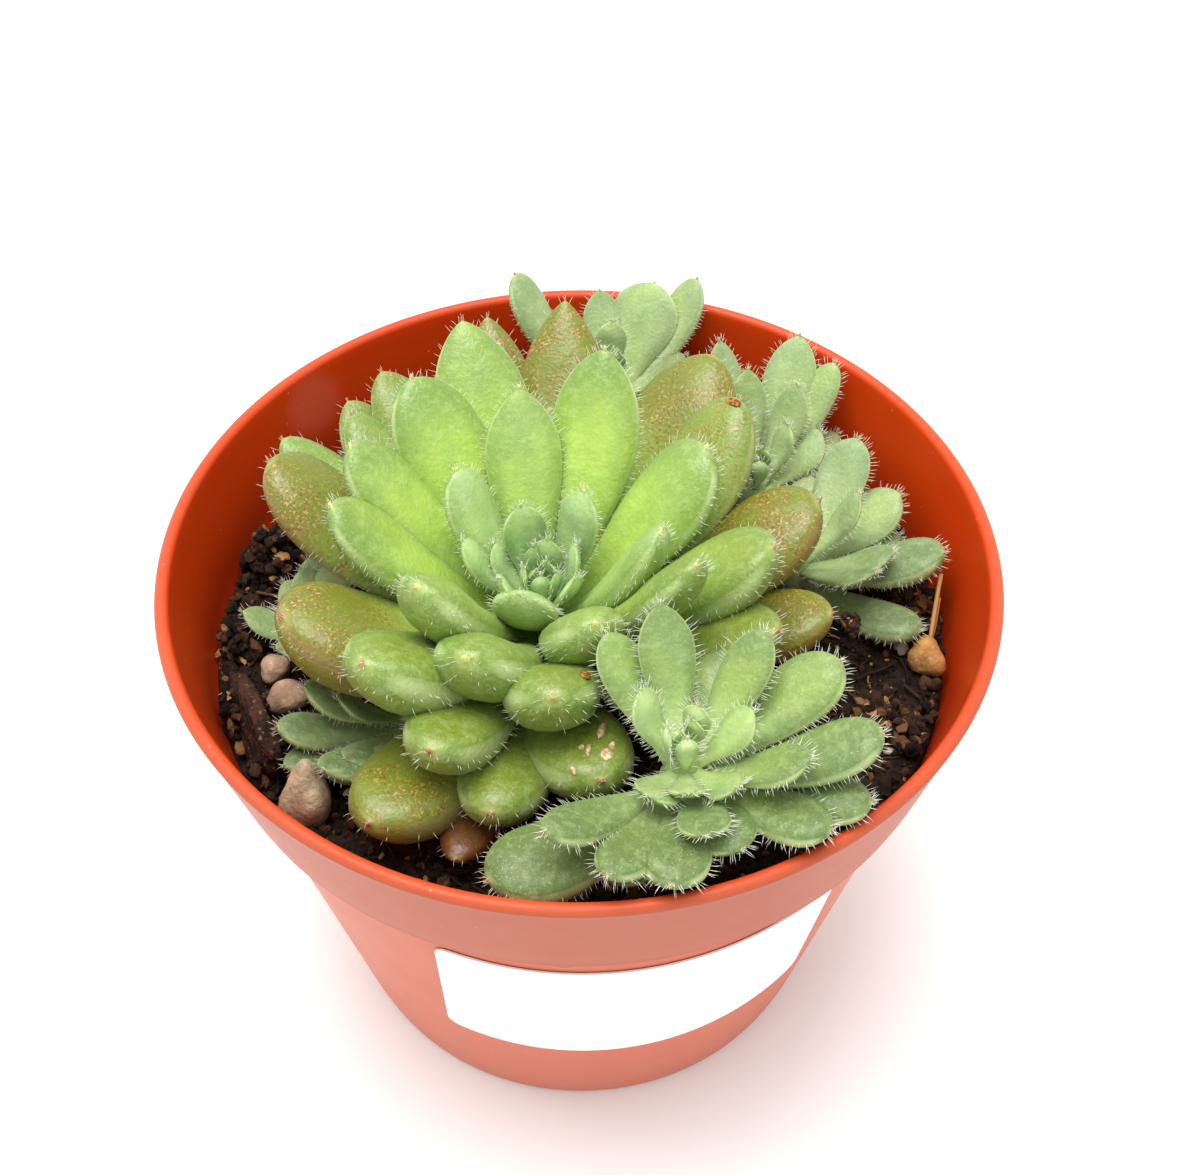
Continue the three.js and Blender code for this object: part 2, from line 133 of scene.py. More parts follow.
# Powers that shape the cross-section: across, the upper face, how that changes at the back, the lower face
SECTION_ACROSS, SECTION_UPPER, SECTION_BACK, SECTION_LOWER = 0.92, 1.05, 0.3, 0.88
# Uneven growth: bend as a share of reach, groove and dents as shares of the half width
LEAF_BEND, LEAF_GROOVE, LEAF_DENT = 0.018, 0.16, 0.035
# The small point at the tip: its least length and growth with width, and its root's share of the
# half width, least radius and growth with width
POINT_LENGTH = (0.4, 0.03)
POINT_ROOT = (0.38, 0.1, 0.006)
# Rings along a leaf, closer together near the tip, and facets round it
STATIONS = np.concatenate([np.linspace(0, 0.7, 13), np.linspace(0.7, 0.94, 9)[1:],
                           [0.96, 0.975, 0.987, 0.995, 0.9987]])
LEAF_RING = 20
# The tight bud: each leaf is turned by the golden angle, lower and longer than the one before
GOLDEN_ANGLE = 137.5
BUD_RISE, BUD_RISE_STEP, BUD_REACH, BUD_REACH_STEP, BUD_WIDTH = 78, -4, 3, 0.5, 2.6
STEM_FOOT = 57.0
STEM_FACETS = 16
HAIR_RADIUS = 0.047
HAIR_SINK = 0.12
DOWN_RADIUS = 0.6 * HAIR_RADIUS
SCAR_HEIGHT = 0.3

# Each leaf row is azimuth, rise, reach, width and how much red-brown blush it has
MAIN_LEAVES = [
    (114, 60, 11, 5.8, 0), (41, 58, 14, 6.4, 0), (141, 45, 18, 7.4, 0), (170, 36, 11.8, 5.2, 0),
    (7, 57, 8.3, 4.4, 0), (259, 45, 15, 7.8, 0), (324, 44, 7.2, 4.8, 0), (206, 40, 7, 4.6, 0),
    (150, 35, 8, 4, 0), (75, 60, 6.4, 4, 0), (97, 42, 25, 9.8, 0), (70, 38, 31, 11.8, 0),
    (127, 32, 31, 12.6, 0), (155, 30, 29, 10.2, 0), (178, 30, 28, 9.6, 0), (229, 41, 26, 10.4, 0),
    (338, 46, 22, 7.4, 0), (23, 35, 27, 12.4, 0.05), (322, 40, 29, 8.6, 0), (290, 36, 23, 9.6, 0),
    (251, 30, 27, 11.4, 0), (230, 24, 32, 13, 0.05), (347, 26, 31, 12.4, 0.1), (38, 22, 35, 12.6, 0.35),
    (107, 25, 38, 12.8, 0.1), (85, 20, 42, 12.2, 0.8), (54, 15, 41, 15.4, 0.7), (10, 14, 36, 14, 0.9),
    (161, 18, 37, 13, 0.65), (203, 16.5, 33, 15.6, 0.75), (249, 13, 33, 11, 0.1), (274, 23, 28, 11.4, 0.1),
    (283, 3, 31, 12, 0.15), (261, 0, 33.6, 11, 0.15), (241, -1, 38.5, 13.2, 0.45), (332, 15, 32, 11.4, 0.2),
    (349, 4, 36, 11, 0.85), (305, 16, 28, 9, 0.1), (124, 13, 39, 10.6, 0.35), (136, 13, 35.2, 9, 0.2),
    (150, 12, 39, 8.6, 0.1), (255, -9, 37, 7.4, 1), (132, 9, 39, 9.6, 0.3), (100, 13, 43.6, 11, 0.85),
]
FRONT_LEAVES = [
    (146, 48, 8.6, 4.6, 0), (14, 30, 8.6, 5, 0), (234, 0, 7.2, 5.2, 0), (60, 62, 5.5, 3.4, 0),
    (270, 12, 6.6, 4, 0), (316, 6, 7.6, 4.6, 0), (100, 35, 16, 6.4, 0), (48, 30, 15.5, 5.8, 0),
    (25, 15, 19.5, 8, 0), (342, 17, 13.9, 5.4, 0), (358, 10, 21, 7.2, 0), (345, -7, 20.5, 6.6, 0),
    (327, -4, 17.5, 6.4, 0), (297, -14, 12.3, 7.4, 0), (278, 4, 11.4, 5.8, 0), (262, -7, 15.5, 7.6, 0),
    (239, -3, 17, 6, 0), (217, 6, 18.7, 5.4, 0), (209, -15, 24.8, 9.6, 0.05), (233, -27, 16, 7.5, 0),
    (124, 20, 15.5, 6, 0), (70, -5, 16, 6.5, 0), (5, -22, 16, 6.5, 0),
]
BACK_RIGHT_LEAVES = [
    (67, 33, 20.7, 7.6, 0), (47, 29, 19.2, 5.6, 0), (53, 44, 13.4, 5.2, 0), (96, 47, 14.4, 5.6, 0),
    (108, 38, 19.2, 5.4, 0), (32, 53, 8.2, 4, 0), (25, 21, 10.9, 6.2, 0),
]
RIGHT_LEAVES = [
    (53, 31, 16.2, 6.8, 0), (22, 14, 15.2, 7.6, 0), (12, 44, 10.6, 4.6, 0), (345, 10, 18.8, 7.4, 0),
    (333, 18, 13.2, 5.2, 0), (306, 24, 14.6, 4.4, 0), (353, -4, 17.3, 6.8, 0), (318, -8, 19.6, 6.2, 0),
]
BACK_LEAVES = [
    (149, 37, 20, 6.6, 0), (99, 39, 12.8, 5.8, 0), (57, 38, 14.8, 10.6, 0), (37, 33, 18.5, 6.6, 0),
    (89, 62, 8, 4.6, 0),
]
LEFT_LEAVES = [
    (177, 5, 11.3, 4.6, 0), (124, 22, 7.9, 5, 0), (140, 7, 8.8, 4.8, 0), (88, 31, 7.7, 5, 0),
    (226, 7, 8.5, 4.4, 0), (112, 20, 9.2, 4.8, 0),
]
FRONT_LEFT_LEAVES = [
    (203, 12, 16.6, 5.6, 0), (213, 0, 17, 5.4, 0), (236, 14, 16, 6.2, 0), (240, 13, 12.9, 5.8, 0),
    (190, 26, 13.5, 5.2, 0), (258, 10, 10.5, 5, 0), (201, 30, 9.9, 4, 0),
]
# Each rosette's heart, stem radius, number of leaves in the bud, drawn leaves and lower whorl, which is
# its count, first azimuth, step, rise, reach and width
ROSETTES = {
    "rosette_front": dict(heart=(10.8, -35.8, 84), stem=2.6, bud=4, leaves=FRONT_LEAVES, lower=None),
    "rosette_main": dict(heart=(-5, -5, 76), stem=5, bud=6, leaves=MAIN_LEAVES,
                         lower=(7, 330, 37, -7, 29, 9.5)),
    "rosette_back_right": dict(heart=(24.5, 20.5, 71), stem=2.2, bud=3, leaves=BACK_RIGHT_LEAVES,
                               lower=(4, 5, 29, -1, 15, 6.4)),
    "rosette_right": dict(heart=(28.6, 5.5, 72.5), stem=2.2, bud=3, leaves=RIGHT_LEAVES,
                          lower=(3, 8, 34, -3, 14, 6.4)),
    "rosette_back": dict(heart=(5, 38, 74), stem=2, bud=3, leaves=BACK_LEAVES,
                         lower=(5, 12, 39, 10, 11, 6)),
    "rosette_left": dict(heart=(-32, -3.5, 69), stem=1.8, bud=2, leaves=LEFT_LEAVES, lower=None),
    "rosette_front_left": dict(heart=(-21, -17, 69), stem=1.8, bud=2, leaves=FRONT_LEFT_LEAVES, lower=None),
}

# Scars on the main rosette, for the leaf with this azimuth and rise. Each has its place along the leaf, the
# angle round it, length, width, turn from the leaf's line, and 0 for a beige one or 1 for a brown one.
SCARS = {
    (283, 3): [(0.81, 112, 3.4, 0.9, 26, 0), (0.905, 86, 2.1, 0.65, 36, 0), (0.935, 110, 1.6, 1.4, 0, 0),
               (0.9, 120, 1.3, 0.7, 20, 0), (0.88, 82, 0.7, 0.7, 0, 0), (0.962, 36, 1.1, 0.6, 30, 0)],
    (274, 23): [(0.87, 138, 2.4, 1.3, -12, 1)],
    (38, 22): [(0.985, 95, 1.2, 2.4, 0, 1)],
}

# Stones: place, half sizes, turn, lean, colour as sRGB bytes and material slot
STONES = {
    "pebble_front_left": ((-33.0, -29.0), (3, 3, 5), 20, 14, (204, 184, 150), "pale_stone"),
    "pumice_left_large": ((-37.4, -12.6), (2.8, 2.2, 2), 35, 8, (196, 158, 130), "pumice"),
    "pumice_left_small": ((-39.6, -7.6), (2.1, 1.8, 1.7), 70, 0, (204, 168, 138), "pumice"),
    "pebble_right": ((44, -9.2), (2.2, 2.8, 2.4), 15, 10, (204, 150, 86), "tan_stone"),
}
STONE_BEDDING = 0.4
# The front pebble's knob: how far it stands out, on which side of the stone, and how wide it is
KNOB, KNOB_SIDE, KNOB_SPREAD = 0.22, (-0.15, 0.1, 0.98), 0.1
# The bark slab, leant against the wall. Squareness is a power, lower for squarer corners
BARK_AT = (-40.3, -18.6, 66.4)
BARK_LENGTH, BARK_HEIGHT, BARK_THICKNESS = 15, 8, 2.6
BARK_TURN, BARK_LEAN, BARK_SQUARENESS = -64, -14, 0.45
# Soil piled on the surface: azimuth, distance from the middle, its foot above the soil, height, spread,
# number of clods and their darkness
PILES = [
    (165, 43.0, 0, 7.4, 3.8, 340, 2.4),
    (184, 44.0, 0, 5.6, 3.6, 260, 2),
    (200, 45.4, 1, 5.5, 3.0, 200, 2),
    (212, 45.4, 0, 4.0, 2.4, 90, 1.7),
    (1, 43.6, 0, 4.6, 3.0, 180, 0.9),
    (333, 41.8, 0, 3.4, 4.4, 320, 0.9),
    (246, 43.5, 0, 1.6, 3.2, 90, 1.2),
    (345, 34.5, 7.8, 2.2, 1.0, 60, 0.9),
]
# Dry straws at the right wall: start, middle and end of a curve, and radius
STRAWS = [
    ((44.6, -8.0, 65.6), (45.4, -4.6, 68.6), (46.4, -0.4, 72.8), 0.3),
    ((44.9, -7.0, 65.2), (45.9, -4.8, 67.4), (46.3, -2.2, 70.2), 0.22),
]
# Where the inner wall has a faint pale smudge
SMUDGE_AT = (-37.5, 32.8, 73.8)

# Camera, fitted to the pot's outlines in the photograph
CAMERA_AT = (-0.0007, -0.1302, 0.2146)
CAMERA_DOWN, CAMERA_YAW, CAMERA_ROLL = 47.89, 1.42, 0.34
CAMERA_LENS, CAMERA_SENSOR = 45.0, 36.0

# Studio, in metres
FLOOR_HALF = 2.5
FLOOR_DROP = 0.0002
SKY_COLOUR, SKY_STRENGTH = (1.0, 0.99, 0.98, 1), 1.02
KEY_COLOUR = (1.0, 0.99, 0.97)
KEY_AT, KEY_SIZE, KEY_POWER, KEY_TOWARDS = (-0.07, 0.04, 0.7), 0.42, 5.2, (0, 0, 0.06)


def srgb(red, green, blue):
    """Linear colour with alpha from sRGB bytes."""
    def linear(value):
        value /= 255
        return value / 12.92 if value <= 0.04045 else ((value + 0.055) / 1.055) ** 2.4
    return (linear(red), linear(green), linear(blue), 1.0)


def smooth(x, low, high):
    """0 below low, 1 above high, smooth between."""
    t = np.clip((np.asarray(x, float) - low) / (high - low), 0, 1)
    return t * t * (3 - 2 * t)


def unit(vectors):
    """One vector, or each of several, with a length of 1."""
    return vectors / np.linalg.norm(vectors, axis=-1, keepdims=True)


# Meshes

def mesh_object(name, points, faces, attributes=None, flat=False):
    """A mesh object in metres from points in millimetres."""
    mesh = bpy.data.meshes.new(name)
    mesh.from_pydata((np.asarray(points) * MM).tolist(), [], [tuple(f) for f in faces])
    for key, values in (attributes or {}).items():
        layer = mesh.attributes.new(key, "FLOAT", "POINT")
        layer.data.foreach_set("value", np.asarray(values, np.float32))
    mesh.polygons.foreach_set("use_smooth", [not flat] * len(mesh.polygons))
    mesh.update()
    piece = bpy.data.objects.new(name, mesh)
    bpy.context.scene.collection.objects.link(piece)
    return piece


def ring_faces(rows, ring):
    """Quads between the rows of a tube with ring points each."""
    faces = []
    for r in range(rows - 1):
        for k in range(ring):
            a, b = r * ring + k, r * ring + (k + 1) % ring
            faces.append((a, b, b + ring, a + ring))
    return faces


def rod_faces(rows, ring):
    """The same with a flat face at both ends."""
    return ring_faces(rows, ring) + [tuple(range(ring))[::-1], tuple(range((rows - 1) * ring, rows * ring))]


def closed_faces(rows, ring):
    """The same with a fan at both ends, to the two points that follow the rows."""
    end, last = rows * ring, (rows - 1) * ring
    faces = ring_faces(rows, ring)
    faces += [(end, (k + 1) % ring, k) for k in range(ring)]
    faces += [(end + 1, last + k, last + (k + 1) % ring) for k in range(ring)]
    return faces


def inside_out(faces):
    return [f[::-1] for f in faces]


def circle(count):
    """Angles of points spread evenly round a circle."""
    return np.arange(count) * 2 * math.pi / count


def level_ring(radius, z, count, middle=(0, 0)):
    """Points spread evenly round a level circle."""
    turn = circle(count)
    x, y = middle[0] + radius * np.cos(turn), middle[1] + radius * np.sin(turn)
    return np.stack([x, y, np.full(count, z)], 1)


def curve(start, middle, end, t):
    """Points on a curve that leaves its start towards the middle and comes to its end from there."""
    return (1 - t) ** 2 * start + 2 * t * (1 - t) * middle + t * t * end


class Heap:
    """Collects many small closed shapes into one mesh."""

    def __init__(self):
        self.points, self.faces, self.marks, self.count = [], [], {}, 0

    def add(self, points, faces, **marks):
        points = np.asarray(points, float)
        self.faces.extend([tuple(int(i) + self.count for i in f) for f in faces])
        self.points.append(points)
        self.count += len(points)
        for key, value in marks.items():
            self.marks.setdefault(key, []).append(np.broadcast_to(np.asarray(value, float), (len(points),)))

    def piece(self, name, flat=False):
        marks = {key: np.concatenate(values) for key, values in self.marks.items()}
        return mesh_object(name, np.concatenate(self.points), self.faces, marks, flat)


def icosphere(levels):
    """Points on the unit sphere and triangles."""
    g = (1 + 5 ** 0.5) / 2
    points = [(-1, g, 0), (1, g, 0), (-1, -g, 0), (1, -g, 0), (0, -1, g), (0, 1, g), (0, -1, -g),
              (0, 1, -g), (g, 0, -1), (g, 0, 1), (-g, 0, -1), (-g, 0, 1)]
    faces = [(0, 11, 5), (0, 5, 1), (0, 1, 7), (0, 7, 10), (0, 10, 11), (1, 5, 9), (5, 11, 4), (11, 10, 2),
             (10, 7, 6), (7, 1, 8), (3, 9, 4), (3, 4, 2), (3, 2, 6), (3, 6, 8), (3, 8, 9), (4, 9, 5),
             (2, 4, 11), (6, 2, 10), (8, 6, 7), (9, 8, 1)]
    points = [unit(np.array(p)) for p in points]
    for _ in range(levels):
        middle, finer = {}, []
        def between(a, b):
            key = (min(a, b), max(a, b))
            if key not in middle:
                middle[key] = len(points)
                points.append(unit(points[a] + points[b]))
            return middle[key]
        for a, b, c in faces:
            ab, bc, ca = between(a, b), between(b, c), between(c, a)
            finer += [(a, ab, ca), (b, bc, ab), (c, ca, bc), (ab, bc, ca)]
        faces = finer
    return np.array(points), faces


def turn_matrix(turn, lean):
    """Leans about Y, then turns about Z, in degrees."""
    turned, leant = Matrix.Rotation(math.radians(turn), 3, "Z"), Matrix.Rotation(math.radians(lean), 3, "Y")
    return np.array(turned @ leant)


def wobble(points, amount, scale, seed):
    """A smooth uneven displacement for each point, from a few sine waves."""
    draw = np.random.default_rng(seed)
    total = np.zeros(len(points))
    for octave in range(4):
        for _ in range(3):
            direction = unit(draw.normal(size=3))
            phase = draw.uniform(0, 6.28)
            total += np.sin(points @ direction * scale * 1.9 ** octave + phase) / 1.7 ** octave
    return total * amount / 3


# Materials

class Shader:
    """A short way to write a procedural material. Colours are tuples of sRGB bytes."""

    def __init__(self, name, roughness, specular, base=None):
        self.material = bpy.data.materials.new(name)
        self.material.use_nodes = True
        self.tree = self.material.node_tree
        self.main = self.tree.nodes["Principled BSDF"]
        self.base = base
        self.feed(self.main, {"Roughness": roughness, "Specular IOR Level": specular})

    def feed(self, node, inputs):
        """Links each input to another node's output, or sets it to a number, a list or a colour."""
        for key, value in inputs.items():
            if isinstance(value, bpy.types.NodeSocket):
                self.tree.links.new(value, node.inputs[key])
            else:
                node.inputs[key].default_value = srgb(*value) if isinstance(value, tuple) else value

    def node(self, kind, inputs=None, **settings):
        node = self.tree.nodes.new("ShaderNode" + kind)
        for key, value in settings.items():
            setattr(node, key, value)
        self.feed(node, inputs or {})
        return node

    def mark(self, name):
        """A number that the mesh carries at each point."""
        return self.node("Attribute", attribute_name=name).outputs["Fac"]

    def math(self, operation, a, b=0.0):
        return self.node("Math", {0: a, 1: b}, operation=operation).outputs[0]

    def times(self, a, b):
        return self.math("MULTIPLY", a, b)

    def ramp(self, value, low, high):
        """0 below low, 1 above high, smooth between."""
        inputs = {"Value": value, "From Min": low, "From Max": high}
        return self.node("MapRange", inputs, interpolation_type="SMOOTHSTEP").outputs[0]

    def mix(self, share, a, b):
        return self.node("Mix", {"Factor": share, 6: a, 7: b}, data_type="RGBA").outputs[2]

    def paint(self, share, colour, strength=1.0):
        """Lays a colour over the base so far."""
        if strength < 1:
            share = self.times(share, strength)
        self.base = self.mix(share, self.base, colour)

    def place(self):
        """The object's own metres."""
        return self.node("TexCoord").outputs["Object"]

    def noise(self, scale, detail, roughness=0.5, stretch=None):
        place = self.place()
        if stretch:
            place = self.node("Mapping", {"Vector": place, "Scale": stretch}).outputs[0]
        inputs = {"Vector": place, "Scale": scale, "Detail": detail, "Roughness": roughness}
        return self.node("TexNoise", inputs).outputs["Fac"]

    def near(self, place, inner, outer):
        """1 within the inner distance of a place, falling to 0 at the outer one, in millimetres."""
        inputs = {0: self.place(), 1: [value * MM for value in place]}
        distance = self.node("VectorMath", inputs, operation="DISTANCE").outputs["Value"]
        return self.ramp(distance, outer * MM, inner * MM)

    def height(self):
        """Height above the pot's underside in metres."""
        return self.node("SeparateXYZ", {0: self.place()}).outputs["Z"]

    def bump(self, height, strength, distance):
        inputs = {"Height": height, "Strength": strength, "Distance": distance}
        self.feed(self.main, {"Normal": self.node("Bump", inputs).outputs[0]})

    def glow_through(self, weight, radius, scale):
        self.feed(self.main, {"Subsurface Weight": weight, "Subsurface Radius": radius,
                              "Subsurface Scale": scale})

    def done(self):
        """The finished material, with its base colour in place."""
        self.feed(self.main, {"Base Color": self.base})
        return self.material


def leaf_material(name, neck, middle, tip, heart, olive, roughness, bloom):
    """Leaf skin: colours from neck to tip, a heart tint, specked blush, a coloured point, a pale bloom."""
    s = Shader(name, roughness, 0.5, neck)
    along, across, age = s.mark("along"), s.mark("across"), s.mark("age")
    blush, chance, deep = s.mark("blush"), s.mark("chance"), s.mark("deep")
    s.paint(s.ramp(along, 0.2, 0.6), middle)
    s.paint(s.ramp(along, 0.62, 0.98), tip)
    s.paint(s.ramp(age, 0.6, 0.25), heart)
    s.paint(s.ramp(age, 0.62, 0.95), tip, 0.3)
    # Young leaves have a bluer middle to their outer half
    blotch = s.times(s.ramp(along, 0.4, 0.62), s.ramp(along, 0.9, 0.72))
    s.paint(s.times(blotch, s.ramp(age, 0.4, 0.2)), (104, 148, 102), 0.4)
    # Clouds of yellower and bluer green, and a small difference from leaf to leaf
    s.paint(s.ramp(s.noise(110, 3), 0.42, 0.66), (176, 198, 76), 0.3)
    s.paint(s.ramp(s.noise(190, 4, 0.6), 0.45, 0.7), (104, 142, 80), 0.3)
    s.paint(chance, (158, 188, 104), 0.2)
    # The leaves towards the front are painted a deeper olive green, most of all near their ends: partly the
    # real colour of older leaves, partly painted shade on the front of the plant
    near_end = s.math("ADD", s.times(s.ramp(along, 0.2, 0.8), 0.4), 0.6)
    s.paint(s.times(s.ramp(deep, 0.0, 0.8), near_end), olive, 0.85)
    # Painted shade darkening the skin towards the margins, pale mottling, a pale line at the margin that is
    # partly the pale margin itself and partly a painted rim highlight, and pale dots as fine as pores
    edge = s.math("ABSOLUTE", across)
    s.paint(s.ramp(edge, 0.3, 0.92), tip, 0.42)
    s.paint(s.ramp(s.noise(900, 4, 0.7), 0.44, 0.66), (222, 236, 172), 0.12)
    s.paint(s.times(s.ramp(edge, 0.93, 1.0), s.ramp(along, 0.99, 0.93)), (196, 214, 150), 0.6)
    s.paint(s.ramp(s.noise(4600, 2), 0.6, 0.72), (206, 220, 160), 0.3)
    # Blush on the outer part: yellowish olive, then brown patches with tan and dark specks, and a brown rim
    outer = s.times(s.ramp(along, 0.42, 0.85), blush)
    patch = s.ramp(s.noise(210, 4, 0.6), 0.42, 0.62)
    near = s.times(s.ramp(outer, 0.03, 0.5), s.math("ADD", s.times(patch, 0.7), 0.3))
    s.paint(s.ramp(outer, 0.0, 0.7), (106, 112, 22), 0.82)
    s.paint(s.times(outer, patch), (130, 84, 30), 0.28)
    s.paint(s.times(s.ramp(s.noise(2700, 2), 0.56, 0.64), near), (196, 156, 84), 0.75)
    s.paint(s.times(s.ramp(s.noise(3100, 2), 0.57, 0.65), near), (112, 56, 22), 0.8)
    s.paint(s.times(s.ramp(edge, 0.9, 1.0), s.ramp(outer, 0.15, 0.8)), (140, 76, 44), 0.3)
    # One old leaf has dried brown all over
    s.paint(s.ramp(blush, 0.95, 1.0), (104, 52, 28), 0.85)
    # The small point at the tip: yellow when young, red-brown when old, in a pale ring
    old = s.ramp(s.math("ADD", age, s.times(blush, 0.6)), 0.5, 0.85)
    s.paint(s.ramp(along, 0.985, 0.998), (206, 210, 140), 0.2)
    s.paint(s.ramp(along, 0.9978, 1.0005), s.mix(old, (222, 222, 116), (150, 92, 54)))
    s.feed(s.main, {"Sheen Weight": bloom, "Sheen Roughness": 0.4, "Sheen Tint": (206, 222, 190)})
    s.glow_through(0.16, [0.5, 1.0, 0.25], 0.002)
    s.bump(s.math("ADD", s.times(s.noise(2000, 3), 0.5), s.noise(330, 3)), 0.4, 0.0005)
    return s.done()


def hair_material():
    s = Shader("leaf_hair", 0.6, 0.3, (232, 237, 214))
    s.glow_through(0.4, [1.0, 1.0, 0.8], 0.0004)
    return s.done()


def scar_material():
    s = Shader("leaf_scar", 0.85, 0.2)
    uneven = s.noise(1600, 3)
    beige = s.mix(s.ramp(uneven, 0.4, 0.65), (166, 138, 100), (224, 206, 158))
    rust = s.mix(s.ramp(uneven, 0.45, 0.65), (118, 66, 30), (172, 130, 62))
    s.base = s.mix(s.mark("tone"), beige, rust)
    s.bump(s.noise(1500, 3), 0.6, 0.0003)
    return s.done()


def pot_material():
    """Satin plastic: a redder inside, painted darker near the soil as painted shade; an outside whose
    collar is painted browner as painted shade and whose body is painted paler and pinker as painted light
    and reflection; and fine dust.
    """
    s = Shader("pot_plastic", 0.4, 0.24)
    height = s.height()
    # The outside: the collar is painted browner as painted shade, and the body paler and pinker as painted
    # light and reflection
    collar = s.mix(s.ramp(s.noise(30, 3), 0.3, 0.7), (172, 84, 56), (178, 90, 62))
    outer = s.mix(s.ramp(height, STEP * MM, (STEP - 1) * MM), collar, (198, 104, 78))
    s.base = s.mix(s.ramp(s.noise(45, 4), 0.35, 0.75), (200, 58, 7), (204, 66, 10))
    # Painted shade: the inside darker low down, near the soil
    s.paint(s.ramp(height, 0.073, 0.062), (120, 22, 4), 0.6)
    s.paint(s.near(SMUDGE_AT, 2.5, 6), (236, 160, 140), 0.12)
    s.base = s.mix(s.mark("inside"), outer, s.base)
    s.paint(s.ramp(s.noise(900, 2), 0.74, 0.78), (236, 190, 170), 0.35)
    s.glow_through(0.08, [1.0, 0.3, 0.1], 0.002)
    rough = s.node("MapRange", {"Value": s.noise(120, 4), "To Min": 0.34, "To Max": 0.48})
    s.feed(s.main, {"Roughness": rough.outputs[0]})
    s.bump(s.noise(1400, 2), 0.05, 0.0002)
    return s.done()


def paper_material():
    s = Shader("label_paper", 0.55, 0.35)
    s.base = s.mix(s.noise(60, 3), (248, 248, 246), (252, 252, 252))
    return s.done()


def soil_material():
    s = Shader("potting_soil", 0.95, 0.2)
    fine = s.noise(700, 6, 0.7)
    s.base = s.mix(s.ramp(fine, 0.35, 0.7), (18, 12, 8), (54, 38, 26))
    s.paint(s.ramp(s.noise(220, 4), 0.55, 0.75), (84, 58, 38), 0.4)
    s.bump(fine, 0.9, 0.0012)
    return s.done()


def crumb_material():
    """From nearly black through brown to the tan of dry wood, by each crumb's own tone."""
    s = Shader("soil_crumb", 0.95, 0.2)
    tone = s.mark("tone")
    s.base = s.mix(s.ramp(tone, 0.0, 0.6), (20, 13, 9), (58, 40, 28))
    s.paint(s.ramp(tone, 0.6, 0.85), (104, 70, 42))
    s.paint(s.ramp(tone, 0.88, 1.0), (172, 128, 80))
    s.paint(s.ramp(s.noise(1800, 4), 0.5, 0.8), (96, 72, 50), 0.4)
    s.bump(s.noise(1500, 5, 0.7), 0.8, 0.0005)
    return s.done()


def stone_material(name, colour):
    s = Shader(name, 0.9, 0.25)
    dark = s.mix(0.38, colour, (0, 0, 0))
    s.base = s.mix(s.ramp(s.noise(420, 5, 0.65), 0.38, 0.7), dark, colour)
    s.paint(s.ramp(s.noise(1500, 3), 0.6, 0.75), (240, 226, 208), 0.35)
    s.bump(s.noise(1100, 5, 0.7), 0.6, 0.0006)
    return s.done()


def bark_material():
    s = Shader("bark", 0.95, 0.2)
    grain = s.noise(260, 6, 0.7, stretch=[1.0, 0.5, 3.0])
    s.base = s.mix(s.ramp(grain, 0.35, 0.7), (24, 14, 10), (74, 46, 34))
    s.paint(s.ramp(s.noise(1500, 3), 0.58, 0.7), (150, 116, 72), 0.6)
    s.bump(grain, 1.0, 0.0012)
    return s.done()


def plain_material(name, colour, roughness):
    return Shader(name, roughness, 0.3, colour).done()


def give(piece, material, node=None):
    """Material, body and the CAD node that the piece stands for."""
    piece.data.materials.append(material)
    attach(piece, "root")
    if node:
        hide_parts(node)


# Pot, label and soil

def body_radius(z):
    return BODY_FOOT_RADIUS + (BODY_TOP_RADIUS - BODY_FOOT_RADIUS) * z / STEP


def arc(middle_r, middle_z, radius, start, end, count):
    """Profile points on an arc, angles in degrees from +R towards +Z."""
    return [(middle_r + radius * math.cos(math.radians(a)), middle_z + radius * math.sin(math.radians(a)))
            for a in np.linspace(start, end, count)]


def outer_profile():
    """Radius and height of the outside, from the middle of the floor to the lip."""
    foot, step = FOOT_ROUNDING, COLLAR_ROUNDING
    floor = [(r, 0) for r in (0, 12, 22, 31)] + arc(BODY_FOOT_RADIUS - foot, foot, foot, -90, -10, 5)
    body = [(body_radius(z), z) for z in (4, 15, 28, 42, 54, 59.5, STEP)]
    collar = [(COLLAR_FOOT_RADIUS + (RIM_RADIUS - COLLAR_FOOT_RADIUS) * s, STEP + COLLAR_HEIGHT * s)
              for s in (0.12, 0.3, 0.5, 0.7, 0.85, 0.93)]
    return floor + body + arc(COLLAR_FOOT_RADIUS - step, STEP + step, step, -90, 10, 5) + collar


def inner_profile():
    """Radius and height of the inside, from the lip to the middle of the floor."""
    top, foot = RIM_RADIUS - LIP_WIDTH, COLLAR_FOOT_RADIUS - WALL
    drop = COLLAR_HEIGHT - INNER_LIP_DEPTH - SHOULDER_ABOVE
    collar = [(top + (foot - top) * s, POT_HEIGHT - INNER_LIP_DEPTH - drop * s)
              for s in (0.05, 0.2, 0.4, 0.6, 0.8, 1.0)]
    body = [(body_radius(z) - WALL, z) for z in (STEP - SHOULDER_BELOW, 40, 20, FLOOR)]
    return collar + body + [(r, FLOOR) for r in (31, 22, 12, 0)]


def make_pot():
    """A turned shell with drain holes and a tab. Its mark tells the outside from the inside."""
    lip = LIP_WIDTH / 2
    outer, inner = outer_profile(), inner_profile()
    rim = arc(RIM_RADIUS - lip, POT_HEIGHT - lip, lip, 10, 170, 11)
    profile = (outer + rim + inner)[1:-1]
    mark = [0.0] * (len(outer) - 1) + list(np.linspace(0, 1, len(rim))) + [1.0] * (len(inner) - 1)
    points = [level_ring(r, z, POT_FACETS) for r, z in profile] + [[(0, 0, 0), (0, 0, FLOOR)]]
    marks = np.concatenate([np.repeat(mark, POT_FACETS), [0.0, 1.0]])
    faces = closed_faces(len(profile), POT_FACETS)
    pot = mesh_object("pot_fine", np.concatenate(points), faces, {"inside": marks})
    drill_drains(pot)
    add_tab(pot)
    return pot


